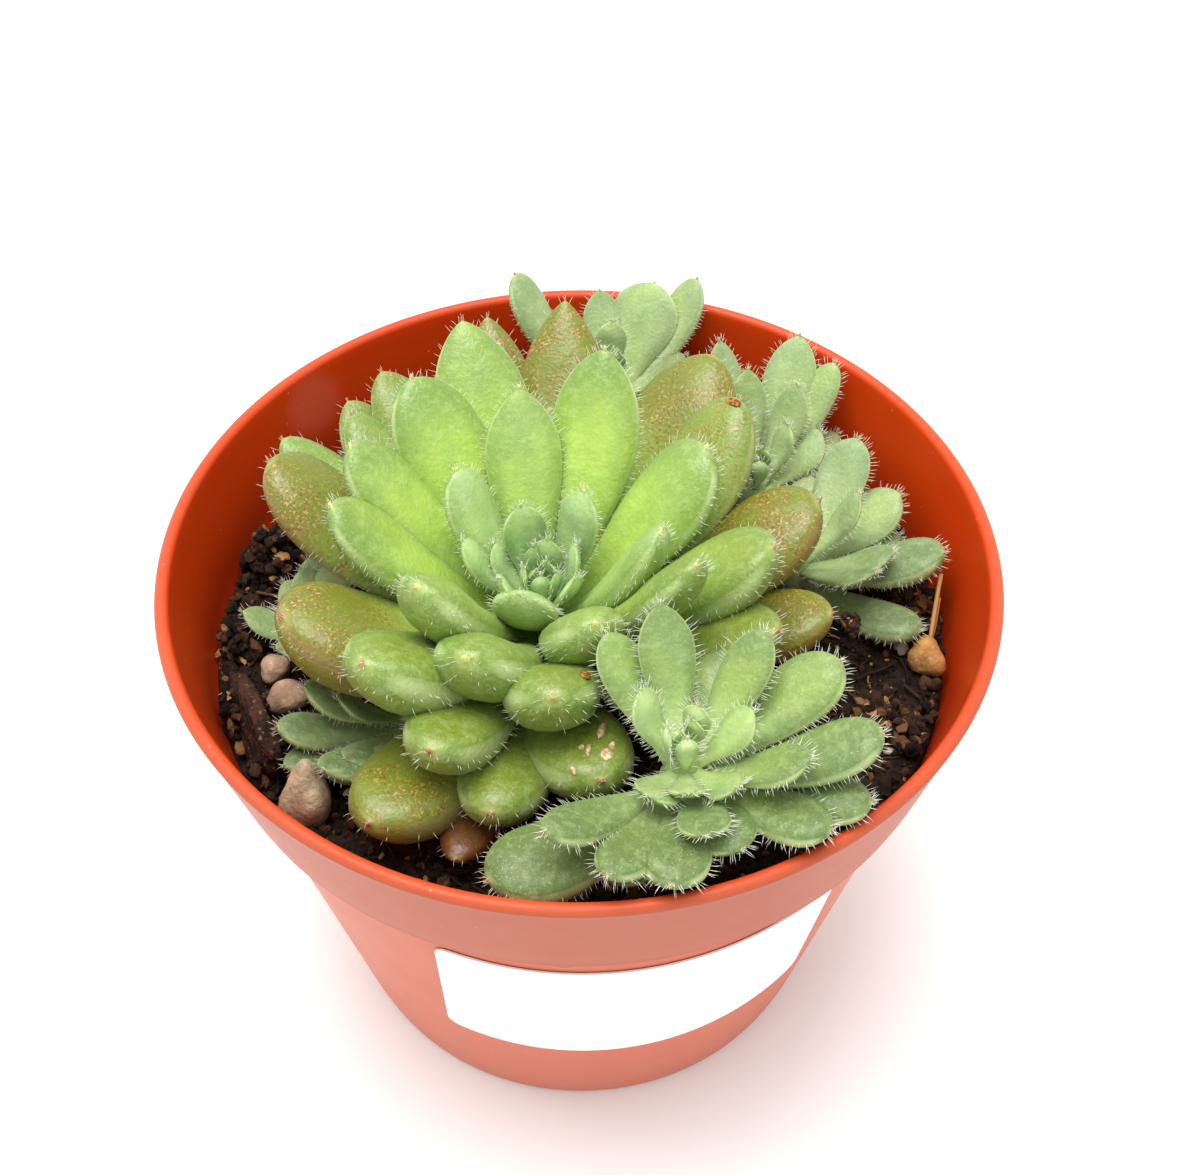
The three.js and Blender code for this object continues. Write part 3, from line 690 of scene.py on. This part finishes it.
def drill_drains(pot):
    drills = Heap()
    for i in range(DRAIN_COUNT):
        angle = (i + 0.5) * 2 * math.pi / DRAIN_COUNT
        middle = (DRAIN_CIRCLE * math.cos(angle), DRAIN_CIRCLE * math.sin(angle))
        ends = [level_ring(DRAIN_RADIUS, z, DRAIN_FACETS, middle) for z in (-3.0, 3.0)]
        drills.add(np.concatenate(ends), rod_faces(2, DRAIN_FACETS))
    drill = drills.piece("drill")
    cut = pot.modifiers.new("drains", "BOOLEAN")
    cut.operation, cut.solver, cut.object = "DIFFERENCE", "EXACT", drill
    shape = bpy.data.meshes.new_from_object(pot.evaluated_get(bpy.context.evaluated_depsgraph_get()))
    pot.modifiers.clear()
    pot.data = shape
    bpy.data.objects.remove(drill)


def add_tab(pot):
    """The small rounded moulding tab under the collar, joined to the pot's mesh."""
    points, faces = icosphere(3)
    a = math.radians(TAB_AZIMUTH)
    out, along = np.array([math.cos(a), math.sin(a), 0]), np.array([-math.sin(a), math.cos(a), 0])
    axes = [along * TAB_WIDTH / 2, out * TAB_DEPTH, (0, 0, TAB_DROP + TAB_RISE)]
    shaped = points @ np.array(axes) + out * (BODY_TOP_RADIUS + TAB_OUT) + (0, 0, STEP + TAB_RISE)
    tab = mesh_object("tab", shaped, faces, {"inside": np.zeros(len(shaped))})
    for piece in bpy.data.objects:
        piece.select_set(piece in (pot, tab))
    bpy.context.view_layer.objects.active = pot
    bpy.ops.object.join()
    pot.select_set(False)


def on_body(u, v, off):
    """Points laid round the cone of the body, across and up from the label's middle."""
    slope = math.atan((BODY_TOP_RADIUS - BODY_FOOT_RADIUS) / STEP)
    to_apex = body_radius(LABEL_MIDDLE) / math.sin(slope)
    distance = np.hypot(to_apex + v, u)
    azimuth = math.radians(LABEL_AZIMUTH) + np.arctan2(u, to_apex + v) / math.sin(slope)
    radius = distance * math.sin(slope) + off * math.cos(slope)
    z = LABEL_MIDDLE + (distance - to_apex) * math.cos(slope) - off * math.sin(slope)
    return np.stack([radius * np.cos(azimuth), radius * np.sin(azimuth), z], 1)


def make_label():
    half = LABEL_WIDTH / 2
    straight = half - LABEL_CORNER
    corner = LABEL_CORNER * (1 - np.cos(np.linspace(0, math.pi / 2, 8)))
    middle = np.linspace(-straight, straight, 41)[1:-1]
    across = np.concatenate([corner - half, middle, (half - corner)[::-1]])
    past = np.maximum(0, np.abs(across) - straight)
    tall = LABEL_HEIGHT / 2 - LABEL_CORNER + np.sqrt(np.maximum(0.0004, LABEL_CORNER ** 2 - past ** 2))
    steps = np.linspace(-1, 1, 7)
    front = [on_body(across, tall * s, LABEL_OFF + LABEL_THICKNESS) for s in steps]
    back = [on_body(across, tall * s, LABEL_OFF) for s in steps[::-1]]
    rows, count = len(front) + len(back), len(across)
    faces = []
    for r in range(rows):
        row, following = r * count, (r + 1) % rows * count
        faces += [(row + k, row + k + 1, following + k + 1, following + k) for k in range(count - 1)]
    left_end = tuple(range(0, rows * count, count))
    faces += [left_end[::-1], tuple(i + count - 1 for i in left_end)]
    label = mesh_object("label_fine", np.concatenate(front + back), faces)
    split = label.modifiers.new("edges", "EDGE_SPLIT")
    split.split_angle = math.radians(40)
    return label


def soil_height(x, y):
    return (SOIL_LEVEL + 0.02 * x + 0.5 * np.sin(0.35 * x + 1) * np.cos(0.3 * y)
            + 0.3 * np.sin(0.8 * x - 0.6 * y))


def soil_lumps(x, y):
    """Soil height with crumb-sized unevenness."""
    place = np.stack([x, y, np.zeros_like(x)], 1)
    return soil_height(x, y) + wobble(place, 0.7, 1.1, SEED + 1)


def lumps_at(x, y):
    """The same for one place."""
    return float(soil_lumps(np.array([x]), np.array([y]))[0])


def make_soil():
    """Lumpy soil that fills the pot, with its edge tucked down at the wall."""
    top, foot = RIM_RADIUS - LIP_WIDTH, COLLAR_FOOT_RADIUS - WALL
    edge = foot + (top - foot) * SOIL_EDGE_SHARE - GAP
    rows = []
    for r in np.concatenate([np.linspace(0.8, edge - 1, SOIL_RINGS), [edge - 0.4]]):
        x, y = level_ring(r, 0, SOIL_FACETS).T[:2]
        rows.append(np.stack([x, y, soil_lumps(x, y)], 1))
    rows.append(level_ring(edge, SOIL_LEVEL - SOIL_EDGE_DROP, SOIL_FACETS))
    for z in (STEP - SHOULDER_BELOW, FLOOR + GAP):
        rows.append(level_ring(body_radius(z) - WALL - GAP, z, SOIL_FACETS))
    ends = [(0, 0, lumps_at(0.0, 0.0)), (0, 0, FLOOR + GAP)]
    faces = inside_out(closed_faces(len(rows), SOIL_FACETS))
    return mesh_object("soil_fine", np.concatenate(rows + [ends]), faces)


def scatter(draw, count, reach):
    """Even random places on the soil within a radius."""
    r = reach * np.sqrt(draw.random(count))
    a = draw.random(count) * 2 * math.pi
    return r * np.cos(a), r * np.sin(a)


def add_crumb(heap, draw, shape, at, size, roughness, darkness=1.7):
    """One rough crumb. Most crumbs are dark lumps, and a few are flakes with the colour of dry wood."""
    points, faces = shape
    tone = draw.random() ** darkness
    form = size * draw.uniform(0.55, 1.25, 3) * (1, 1, FLAKE_THICKNESS if tone > FLAKE_TONE else 1)
    rough = 1 + wobble(points, roughness, CRUMB_GRAIN, int(draw.integers(1e6)))[:, None]
    spin = np.array(Matrix.Rotation(draw.uniform(0, 6.28), 3, Vector(draw.normal(size=3))))
    heap.add((points * rough * form) @ spin.T + at, faces, tone=tone)


def add_crumbs(heap, draw):
    """Crumbs strewn on the soil, and some more banked against the wall."""
    shape = icosphere(2)
    xs, ys = scatter(draw, *STREWN_CRUMBS)
    for x, y, z in zip(xs, ys, soil_lumps(xs, ys)):
        size = draw.uniform(0.5, 1.5)
        add_crumb(heap, draw, shape, (x, y, z + size * 0.2), size, 0.4)
    count, reach = WALL_CRUMBS
    for angle in draw.uniform(0, 2 * math.pi, count):
        r = reach - abs(draw.normal(0, 0.9))
        x, y = r * math.cos(angle), r * math.sin(angle)
        z = soil_height(x, y) + draw.uniform(-0.3, 1.6)
        add_crumb(heap, draw, shape, (x, y, z), draw.uniform(0.3, 1.0), 0.4)


def add_grit(heap, draw):
    shape = icosphere(0)
    xs, ys = scatter(draw, *GRIT)
    for x, y, z in zip(xs, ys, soil_lumps(xs, ys)):
        add_crumb(heap, draw, shape, (x, y, z + 0.1), draw.uniform(0.15, 0.55), 0.3)


def add_clods(heap, draw):
    """Rough clods heaped at the wall, and a few that have fallen on a leaf."""
    shape = icosphere(1)
    for azimuth, distance, foot, height, spread, count, darkness in PILES:
        a = math.radians(azimuth)
        middle = np.array([distance * math.cos(a), distance * math.sin(a)])
        for _ in range(count):
            off = draw.normal(0, spread / 2, 2)
            x, y = (middle + off) * min(1, LOOSE_REACH / math.hypot(*(middle + off)))
            heaped = height * draw.random() * math.exp(-(off @ off) / spread ** 2)
            size = draw.uniform(0.2, 0.4 + 0.18 * min(height, 3))
            add_crumb(heap, draw, shape, (x, y, soil_height(x, y) + foot + heaped), size, 0.55, darkness)


def tube(path, radius, sides):
    """A closed thin tube along a path."""
    path = np.asarray(path, float)
    tangent = unit(np.gradient(path, axis=0))
    helper = np.where(np.abs(tangent[:, 2:]) > 0.9, [[1.0, 0, 0]], [[0, 0, 1.0]])
    first = unit(np.cross(tangent, helper))
    second = np.cross(tangent, first)
    turn = circle(sides)[:, None]
    rings = path[:, None] + radius * (first[:, None] * np.cos(turn) + second[:, None] * np.sin(turn))
    return rings.reshape(-1, 3), rod_faces(len(path), sides)


def add_fibres(heap, draw):
    """Thin curved fibres that lie on the soil, cut off at the wall, and splinters."""
    t = np.linspace(0, 1, 6)
    for x, y in zip(*scatter(draw, *FIBRES)):
        length = draw.uniform(1.5, 6.5)
        heading = draw.uniform(0, 6.28)
        bend = draw.normal(0, 0.5)
        px = x + length * t * np.cos(heading + bend * t)
        py = y + length * t * np.sin(heading + bend * t)
        keep = np.hypot(px, py) < FIBRE_REACH
        if keep.sum() < 3:
            continue
        px, py = px[keep], py[keep]
        pz = soil_lumps(px, py) + 0.35 + draw.uniform(0, 0.8) * np.sin(np.pi * t[keep])
        points, faces = tube(np.stack([px, py, pz], 1), draw.uniform(0.06, 0.16), 4)
        heap.add(points, faces, tone=draw.uniform(0.45, 1.0))
    add_splinters(heap, draw)


def add_splinters(heap, draw):
    """Short splinters of reddish wood."""
    for x, y in zip(*scatter(draw, *SPLINTERS)):
        a = draw.uniform(0, 2 * math.pi)
        half = draw.uniform(0.6, 1.8) * np.array([math.cos(a), math.sin(a), draw.normal(0, 0.3)])
        middle = np.array([x, y, lumps_at(x, y) + 0.4])
        points, faces = tube([middle - half, middle, middle + half], draw.uniform(0.15, 0.4), 5)
        heap.add(points, faces, tone=draw.uniform(0.6, 1.0))


def make_straws():
    heap = Heap()
    t = np.linspace(0, 1, 9)[:, None]
    for *places, radius in STRAWS:
        heap.add(*tube(curve(*np.array(places), t), radius, 6))
    return heap.piece("dry_straw")


def add_perlite(heap, draw):
    points, faces = icosphere(2)
    for x, y in zip(*scatter(draw, *PERLITE)):
        size = draw.uniform(0.35, 0.9)
        form = size * draw.uniform(0.7, 1.2, 3)
        shaped = points * (1 + wobble(points, 0.12, 3.0, int(draw.integers(1e6))))[:, None] * form
        heap.add(shaped + (x, y, lumps_at(x, y) + size * 0.3), faces)


def make_loose(name, add, seed, flat=False):
    """One piece of many small things, drawn with a seed of its own."""
    heap = Heap()
    add(heap, np.random.default_rng(SEED + seed))
    return heap.piece(name, flat)


def make_stone(name, at, half, turn, lean):
    points, faces = icosphere(4)
    x, y, z = points.T
    size = 1 + 0.08 * np.sin(3 * x + 2 * z) + 0.06 * np.sin(4 * y - 2 * x)
    size += wobble(points, 0.05, 4.0, SEED + len(name))
    if name == "pebble_front_left":
        size += KNOB * np.exp(-np.sum((points - KNOB_SIDE) ** 2, axis=1) / KNOB_SPREAD)
    shaped = points * size[:, None] * np.array(half)
    middle = float(soil_height(*at)) + half[2] * (1 - STONE_BEDDING)
    return mesh_object(name + "_fine", shaped @ turn_matrix(turn, lean).T + (*at, middle), faces)


def make_bark():
    """A split slab: a fine box rounded at its corners and roughened along its grain."""
    points, faces = icosphere(5)
    box = np.sign(points) * np.abs(points) ** BARK_SQUARENESS
    box /= np.abs(box).max(axis=0)
    shaped = box * np.array([BARK_LENGTH, BARK_THICKNESS, BARK_HEIGHT]) / 2
    grain = shaped * np.array([0.35, 1.2, 1.6])
    shaped *= (1 + wobble(grain, 0.07, 1.6, SEED + 9))[:, None]
    lean = np.array(Matrix.Rotation(math.radians(BARK_LEAN), 3, "X"))
    turn = np.array(Matrix.Rotation(math.radians(BARK_TURN), 3, "Z"))
    return mesh_object("bark_chip_fine", shaped @ lean.T @ turn.T + BARK_AT, faces)


# Leaves and hairs

def half_width_share(t, pointed):
    """Half width along a leaf as a share of its widest. Pointed is 0 for a round end and 1 for flanks."""
    neck = LEAF_NECK + (1 - LEAF_NECK) * smooth(t, LEAF_NECK_END, LEAF_WIDEST)
    past = np.clip((t - LEAF_WIDEST) / (1 - LEAF_WIDEST), 0, 1)
    fall, power = (low + (high - low) * pointed for low, high in zip(ROUND_END, POINTED_END))
    return neck * np.maximum(0, 1 - past ** fall) ** power


def leaf_rows(rosette):
    """Every leaf: azimuth, rise, reach, width, blush and age from 0 at the heart to 1 outside."""
    rows = []
    far = max(row[2] for row in rosette["leaves"])
    for azimuth, rise, reach, width, blush in rosette["leaves"]:
        age = min(1.0, 0.75 * reach / far + 0.25 * (1 - rise / 60))
        rows.append((azimuth, rise, reach, width, blush, age))
    if rosette["lower"]:
        count, first, step, rise, reach, width = rosette["lower"]
        for i in range(count):
            rows.append(((first + i * step) % 360, rise, reach, width, 0.2, 1.0))
    for i in range(rosette["bud"]):
        rise, reach = BUD_RISE + BUD_RISE_STEP * i, BUD_REACH + BUD_REACH_STEP * i
        rows.append(((i + 1) * GOLDEN_ANGLE % 360, rise, reach, BUD_WIDTH, 0.0, 0.0))
    return rows


def leaf_frames(heart, row, draw):
    """A leaf's middle line with its directions, half widths and thickness above and below, by station."""
    azimuth, rise, reach, width = row[:4]
    a, e = math.radians(azimuth), math.radians(rise)
    out = np.array([math.cos(a), math.sin(a), 0.0])
    side = np.array([out[1], -out[0], 0.0])
    root = np.array(heart, float) + (0, 0, -(1 + LEAF_DROP * reach)) + out * LEAF_ROOT_OFFSET
    tip = np.array(heart, float) + reach * (math.cos(e) * out + (0, 0, math.sin(e)))
    chord = tip - root
    middle = (root + tip) / 2 - unit(np.cross(side, chord)) * LEAF_SAG * np.linalg.norm(chord)
    t = STATIONS[:, None]
    tangent = unit(2 * (1 - t) * (middle - root) + 2 * t * (tip - middle))
    young = min(1.0, max(0.0, (YOUNG_REACH[0] - reach) / (YOUNG_REACH[0] - YOUNG_REACH[1])))
    pointed = max(max(0, out[1]) ** BACK_POINT_FALL, YOUNG_POINT * young)
    half = width / 2 * half_width_share(STATIONS, pointed)
    grown = LEAF_THICKNESS + LEAF_EXTRA_THICKNESS * (1 - out[1]) / 2
    thick = 2 * half * (grown + (YOUNG_THICKNESS - grown) * young)
    bend = draw.normal(0, LEAF_BEND) * reach * np.sin(np.pi * t)
    return dict(root=root, tip=tip, out=out, side=side, line=curve(root, middle, tip, t) + side * bend,
                tangent=tangent, up=unit(np.cross(side, tangent)), width=width, half=half,
                above=thick * LEAF_UPPER_SHARE, below=thick * (1 - LEAF_UPPER_SHARE))


def leaf_skin(frames, draw):
    """Points and faces of one leaf, the marks for its material, and its points by station and turn."""
    side, tip, tangent, up, width = (frames[key] for key in ("side", "tip", "tangent", "up", "width"))
    half, above, below = (frames[key][:, None] for key in ("half", "above", "below"))
    cos, sin = np.cos(circle(LEAF_RING)), np.sin(circle(LEAF_RING))
    across = np.sign(cos) * np.abs(cos) ** SECTION_ACROSS
    # The upper face is flatter towards its margins on the leaves that show it, those at the back
    upper, lower = SECTION_UPPER + SECTION_BACK * frames["out"][1], SECTION_LOWER
    lift = np.where(sin > 0, above * np.abs(sin) ** upper, -below * np.abs(sin) ** lower)
    groove = LEAF_GROOVE * np.exp(-(across / 0.35) ** 2) * (1 - smooth(STATIONS, 0.45, 0.85))[:, None]
    dent = LEAF_DENT * np.sin(3 * across + 9 * STATIONS[:, None] + draw.uniform(0, 6.28))
    height = lift + half * (dent - groove) * (sin > 0)
    grid = frames["line"][:, None] + side * (half * across)[..., None] + up[:, None] * height[..., None]
    # The small point at the tip
    length = POINT_LENGTH[0] + POINT_LENGTH[1] * width
    radius = max(POINT_ROOT[0] * half[-1, 0], POINT_ROOT[1] + POINT_ROOT[2] * width)
    neck = tip + tangent[-1] * length * 0.25 + radius * (side * cos[:, None] + up[-1] * sin[:, None])
    end = tip + (tangent[-1] + 0.25 * up[-1]) * length
    points = np.concatenate([grid.reshape(-1, 3), neck, [frames["root"] - tangent[0] * 0.4, end]])
    rows = len(STATIONS) + 1
    along = np.concatenate([np.repeat(STATIONS, LEAF_RING), np.full(LEAF_RING, 1.0), [0.0, 1.01]])
    wide = np.concatenate([np.tile(across, rows), [0.0, 0.0]])
    return points, inside_out(closed_faces(rows, LEAF_RING)), dict(along=along, across=wide), grid


def add_hair(heap, start, direction, length, radius, bend):
    """One tapering three-sided hair with a slight curve, its root sunk in the skin."""
    direction = unit(direction)
    first = unit(np.cross(direction, (0, 0, 1.0) if abs(direction[2]) < 0.8 else (1.0, 0, 0)))
    second = np.cross(direction, first)
    turn = circle(3)[:, None]
    ring = radius * (np.cos(turn) * first + np.sin(turn) * second)
    middle = start + direction * length * 0.55 + bend * length * 0.3
    end = start + direction * length + bend * length
    points = np.concatenate([start - direction * HAIR_SINK + ring, middle + ring * 0.65, [end]])
    faces = [(0, 2, 1), (0, 1, 4, 3), (1, 2, 5, 4), (2, 0, 3, 5), (3, 4, 6), (4, 5, 6), (5, 3, 6)]
    heap.add(points, faces)


def at_station(frames, t, *keys):
    """Values of the leaf at a place between two stations."""
    row = np.interp(t, STATIONS, np.arange(len(STATIONS)))
    i = min(int(row), len(STATIONS) - 2)
    return [frames[key][i] + (frames[key][i + 1] - frames[key][i]) * (row - i) for key in keys]


def margin_hairs(heap, frames, draw, density, length):
    """One hair in each short stretch of both margins."""
    for side in (-frames["side"], frames["side"]):
        margin = frames["line"] + side * frames["half"][:, None]
        walked = np.concatenate([[0], np.cumsum(np.linalg.norm(np.diff(margin, axis=0), axis=1))])
        count = int(walked[-1] * density)
        for place in 0.1 + 0.89 * (np.arange(count) + draw.random(count)) / count:
            t = np.interp(place * walked[-1], walked, STATIONS)
            line, half, below, up, tangent = at_station(frames, t, "line", "half", "below", "up", "tangent")
            # From just above the margin to well under it, lower still round the end
            turn = 0.1 - abs(draw.normal(0, 0.35 + 0.5 * smooth(t, 0.8, 0.97)))
            skin = side * half * math.cos(turn) + up * below * math.sin(turn)
            outward = unit(skin) + tangent * (0.3 + 1.6 * smooth(t, 0.82, 1.0))
            direction = outward + draw.normal(0, 0.14, 3)
            grown = length * draw.uniform(0.65, 1.15)
            add_hair(heap, line + skin * 0.97, direction, grown, HAIR_RADIUS, draw.normal(0, 0.12, 3))


def tip_hairs(heap, frames, draw, count, length):
    """A tuft at the tip."""
    side, tangent, up = frames["side"], frames["tangent"][-1], frames["up"][-1]
    for _ in range(count):
        start = frames["line"][-1] + side * draw.normal(0, 0.25) + up * draw.normal(0, 0.2)
        direction = tangent + side * draw.normal(0, 0.6) + up * draw.normal(0.1, 0.5)
        grown = length * draw.uniform(0.5, 1.0)
        add_hair(heap, start, direction, grown, HAIR_RADIUS, draw.normal(0, 0.1, 3))


def down_hairs(heap, frames, draw, count):
    """Short down all over the skin."""
    for _ in range(count):
        t = draw.uniform(0.15, 0.98)
        line, up, half, above, below = at_station(frames, t, "line", "up", "half", "above", "below")
        turn = draw.uniform(0, 2 * math.pi)
        thick = above if math.sin(turn) > 0 else below
        skin = frames["side"] * half * math.cos(turn) + up * thick * math.sin(turn)
        direction = unit(skin) + draw.normal(0, 0.35, 3)
        grown = draw.uniform(0.25, 0.6)
        add_hair(heap, line + skin * 0.97, direction, grown, DOWN_RADIUS, draw.normal(0, 0.15, 3))


def add_scar(heap, grid, t, angle, length, width, turn, brown):
    """A thin scab on the skin, at a place along the leaf and an angle round it."""
    row = np.interp(t, STATIONS, np.arange(len(STATIONS)))
    column = angle / 360 * LEAF_RING
    i, j = int(row), int(column)
    corner, onward, round_it = grid[i, j], grid[i + 1, j], grid[i, j + 1]
    middle = corner + (onward - corner) * (row - i) + (round_it - corner) * (column - j)
    u = unit(onward - corner)
    w = unit(np.cross(round_it - corner, u))
    v = np.cross(w, u)
    a = math.radians(turn)
    points, faces = icosphere(3)
    uneven = 1 + wobble(points, 0.12, 3.0, int(10 * length))[:, None]
    turned = np.stack([u * math.cos(a) + v * math.sin(a), v * math.cos(a) - u * math.sin(a), w])
    shaped = points * uneven * (length / 2, width / 2, SCAR_HEIGHT)
    heap.add(shaped @ turned + middle, faces, tone=float(brown))


def add_stem(heap, heart, radius):
    profile = [(radius, STEM_FOOT), (radius, heart[2] - radius * 1.8), (radius * 0.5, heart[2] - 1.2)]
    rings = [level_ring(r, z, STEM_FACETS, heart) for r, z in profile]
    points = np.concatenate(rings + [[(*heart[:2], STEM_FOOT), heart]])
    faces = closed_faces(len(rings), STEM_FACETS)
    # The stem gets half of the leaves' olive tint and painted front shade
    heap.add(points, faces, along=0.1, across=0.0, age=1.0, blush=0.2, deep=0.5, chance=0.5)


def make_rosette(name, rosette, seed, density, length, down, shed, scars):
    """The rosette's leaf skin as one piece and its hairs as another. Scars go to a heap of their own."""
    draw = np.random.default_rng(seed)
    skin, hairs = Heap(), Heap()
    add_stem(skin, rosette["heart"], rosette["stem"])
    for row in leaf_rows(rosette):
        azimuth, rise, reach, _, blush, age = row
        frames = leaf_frames(rosette["heart"], row, draw)
        points, faces, marks, grid = leaf_skin(frames, draw)
        # Older leaves towards the front get the olive tint: partly their own colour, partly painted shade
        deep = age * (0.5 - 0.5 * math.sin(math.radians(azimuth)))
        skin.add(points, faces, age=age, blush=blush, deep=deep, chance=draw.random(), **marks)
        # Old leaves have shed a share of their hairs
        left = density * (1 - shed * smooth(age, 0.6, 0.9))
        margin_hairs(hairs, frames, draw, left, length)
        tip_hairs(hairs, frames, draw, int(4 * left), length)
        down_hairs(hairs, frames, draw, int(down * reach))
        if name == "rosette_main":
            for scar in SCARS.get((azimuth, rise), []):
                add_scar(scars, grid, *scar)
    return skin.piece(name + "_leaves"), hairs.piece(name + "_hairs")


# Stage

def add_camera():
    """It looks level along +Y before it is turned down, aside and round its own line of sight."""
    down, yaw, roll = (math.radians(v) for v in (CAMERA_DOWN, CAMERA_YAW, CAMERA_ROLL))
    data = bpy.data.cameras.new("camera")
    data.lens, data.sensor_width, data.sensor_fit = CAMERA_LENS, CAMERA_SENSOR, "HORIZONTAL"
    data.clip_start = 0.005
    camera = bpy.data.objects.new("camera", data)
    camera.matrix_world = (Matrix.Translation(CAMERA_AT) @ Matrix.Rotation(-yaw, 4, "Z")
                           @ Matrix.Rotation(math.pi / 2 - down, 4, "X") @ Matrix.Rotation(roll, 4, "Z"))
    bpy.context.scene.collection.objects.link(camera)
    bpy.context.scene.camera = camera


def add_light():
    """One soft key light from above."""
    data = bpy.data.lights.new("key", "AREA")
    data.size, data.energy, data.color = KEY_SIZE, KEY_POWER, KEY_COLOUR
    light = bpy.data.objects.new("key", data)
    light.location = KEY_AT
    light.rotation_euler = (Vector(KEY_TOWARDS) - Vector(KEY_AT)).to_track_quat("-Z", "Y").to_euler()
    bpy.context.scene.collection.objects.link(light)


def add_stage():
    """A white floor just under the pot, an even sky and the key light."""
    half = FLOOR_HALF / MM
    corners = [(-half, -half, 0), (half, -half, 0), (half, half, 0), (-half, half, 0)]
    floor = mesh_object("floor", corners, [(0, 1, 2, 3)])
    floor.data.materials.append(plain_material("floor", (246, 246, 245), 0.7))
    floor.location.z = -FLOOR_DROP
    world = bpy.data.worlds.new("studio")
    world.use_nodes = True
    sky = world.node_tree.nodes["Background"].inputs
    sky["Color"].default_value, sky["Strength"].default_value = SKY_COLOUR, SKY_STRENGTH
    bpy.context.scene.world = world
    add_light()


def set_view():
    """Plain colour management, so that the render shows the colours as they are given here."""
    view = bpy.context.scene.view_settings
    view.view_transform = "Standard"
    view.exposure = 0.0


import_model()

add_camera()
add_stage()
set_view()

green = leaf_material("leaf_green", (138, 168, 66), (176, 206, 90), (106, 138, 58), (178, 204, 148),
                      (104, 122, 30), 0.38, 0.08)
fresh = leaf_material("leaf_fresh", (182, 204, 140), (132, 156, 94), (102, 126, 70), (200, 222, 156),
                      (78, 98, 44), 0.52, 0.1)
pale = leaf_material("leaf_pale", (196, 214, 150), (174, 194, 140), (130, 152, 106), (190, 212, 150),
                     (78, 98, 54), 0.55, 0.14)
hair = hair_material()
# Skin, margin hairs in a millimetre, their length, the down on the skin, and the share that old leaves shed
LEAF_LOOKS = {
    "rosette_main": (green, 2.3, 1.25, 0.2, 0.7),
    "rosette_front": (fresh, 2.3, 1.35, 0.5, 0),
    "rosette_back_right": (pale, 2.4, 1.2, 0.3, 0),
    "rosette_right": (pale, 2.4, 1.2, 0.4, 0),
}
OTHER_LOOKS = (pale, 1.8, 1.05, 0.3, 0)
scars = Heap()
for number, (name, rosette) in enumerate(ROSETTES.items()):
    skin, *hairiness = LEAF_LOOKS.get(name, OTHER_LOOKS)
    leaves, hairs = make_rosette(name, rosette, SEED + 20 + number, *hairiness, scars)
    slot_name = "leaf_green" if skin == green else "leaf_pale"
    give(leaves, skin, name)
    give(hairs, hair)
give(scars.piece("leaf_scars"), scar_material())

give(make_pot(), pot_material(), "pot")
give(make_label(), paper_material(), "label")
give(make_soil(), soil_material(), "soil")
crumb = crumb_material()
give(make_loose("soil_crumbs", add_crumbs, 2), crumb)
give(make_loose("soil_grit", add_grit, 6, flat=True), crumb)
give(make_loose("soil_clods", add_clods, 5, flat=True), crumb)
give(make_loose("soil_fibres", add_fibres, 3), crumb)
give(make_straws(), plain_material("dry_straw", (186, 140, 86), 0.8))
give(make_loose("perlite_grains", add_perlite, 4), stone_material("perlite", (232, 226, 214)))
for name, (at, half, turn, lean, colour, slot_name) in STONES.items():
    give(make_stone(name, at, half, turn, lean), stone_material(name, colour), name)
give(make_bark(), bark_material(), "bark_chip")
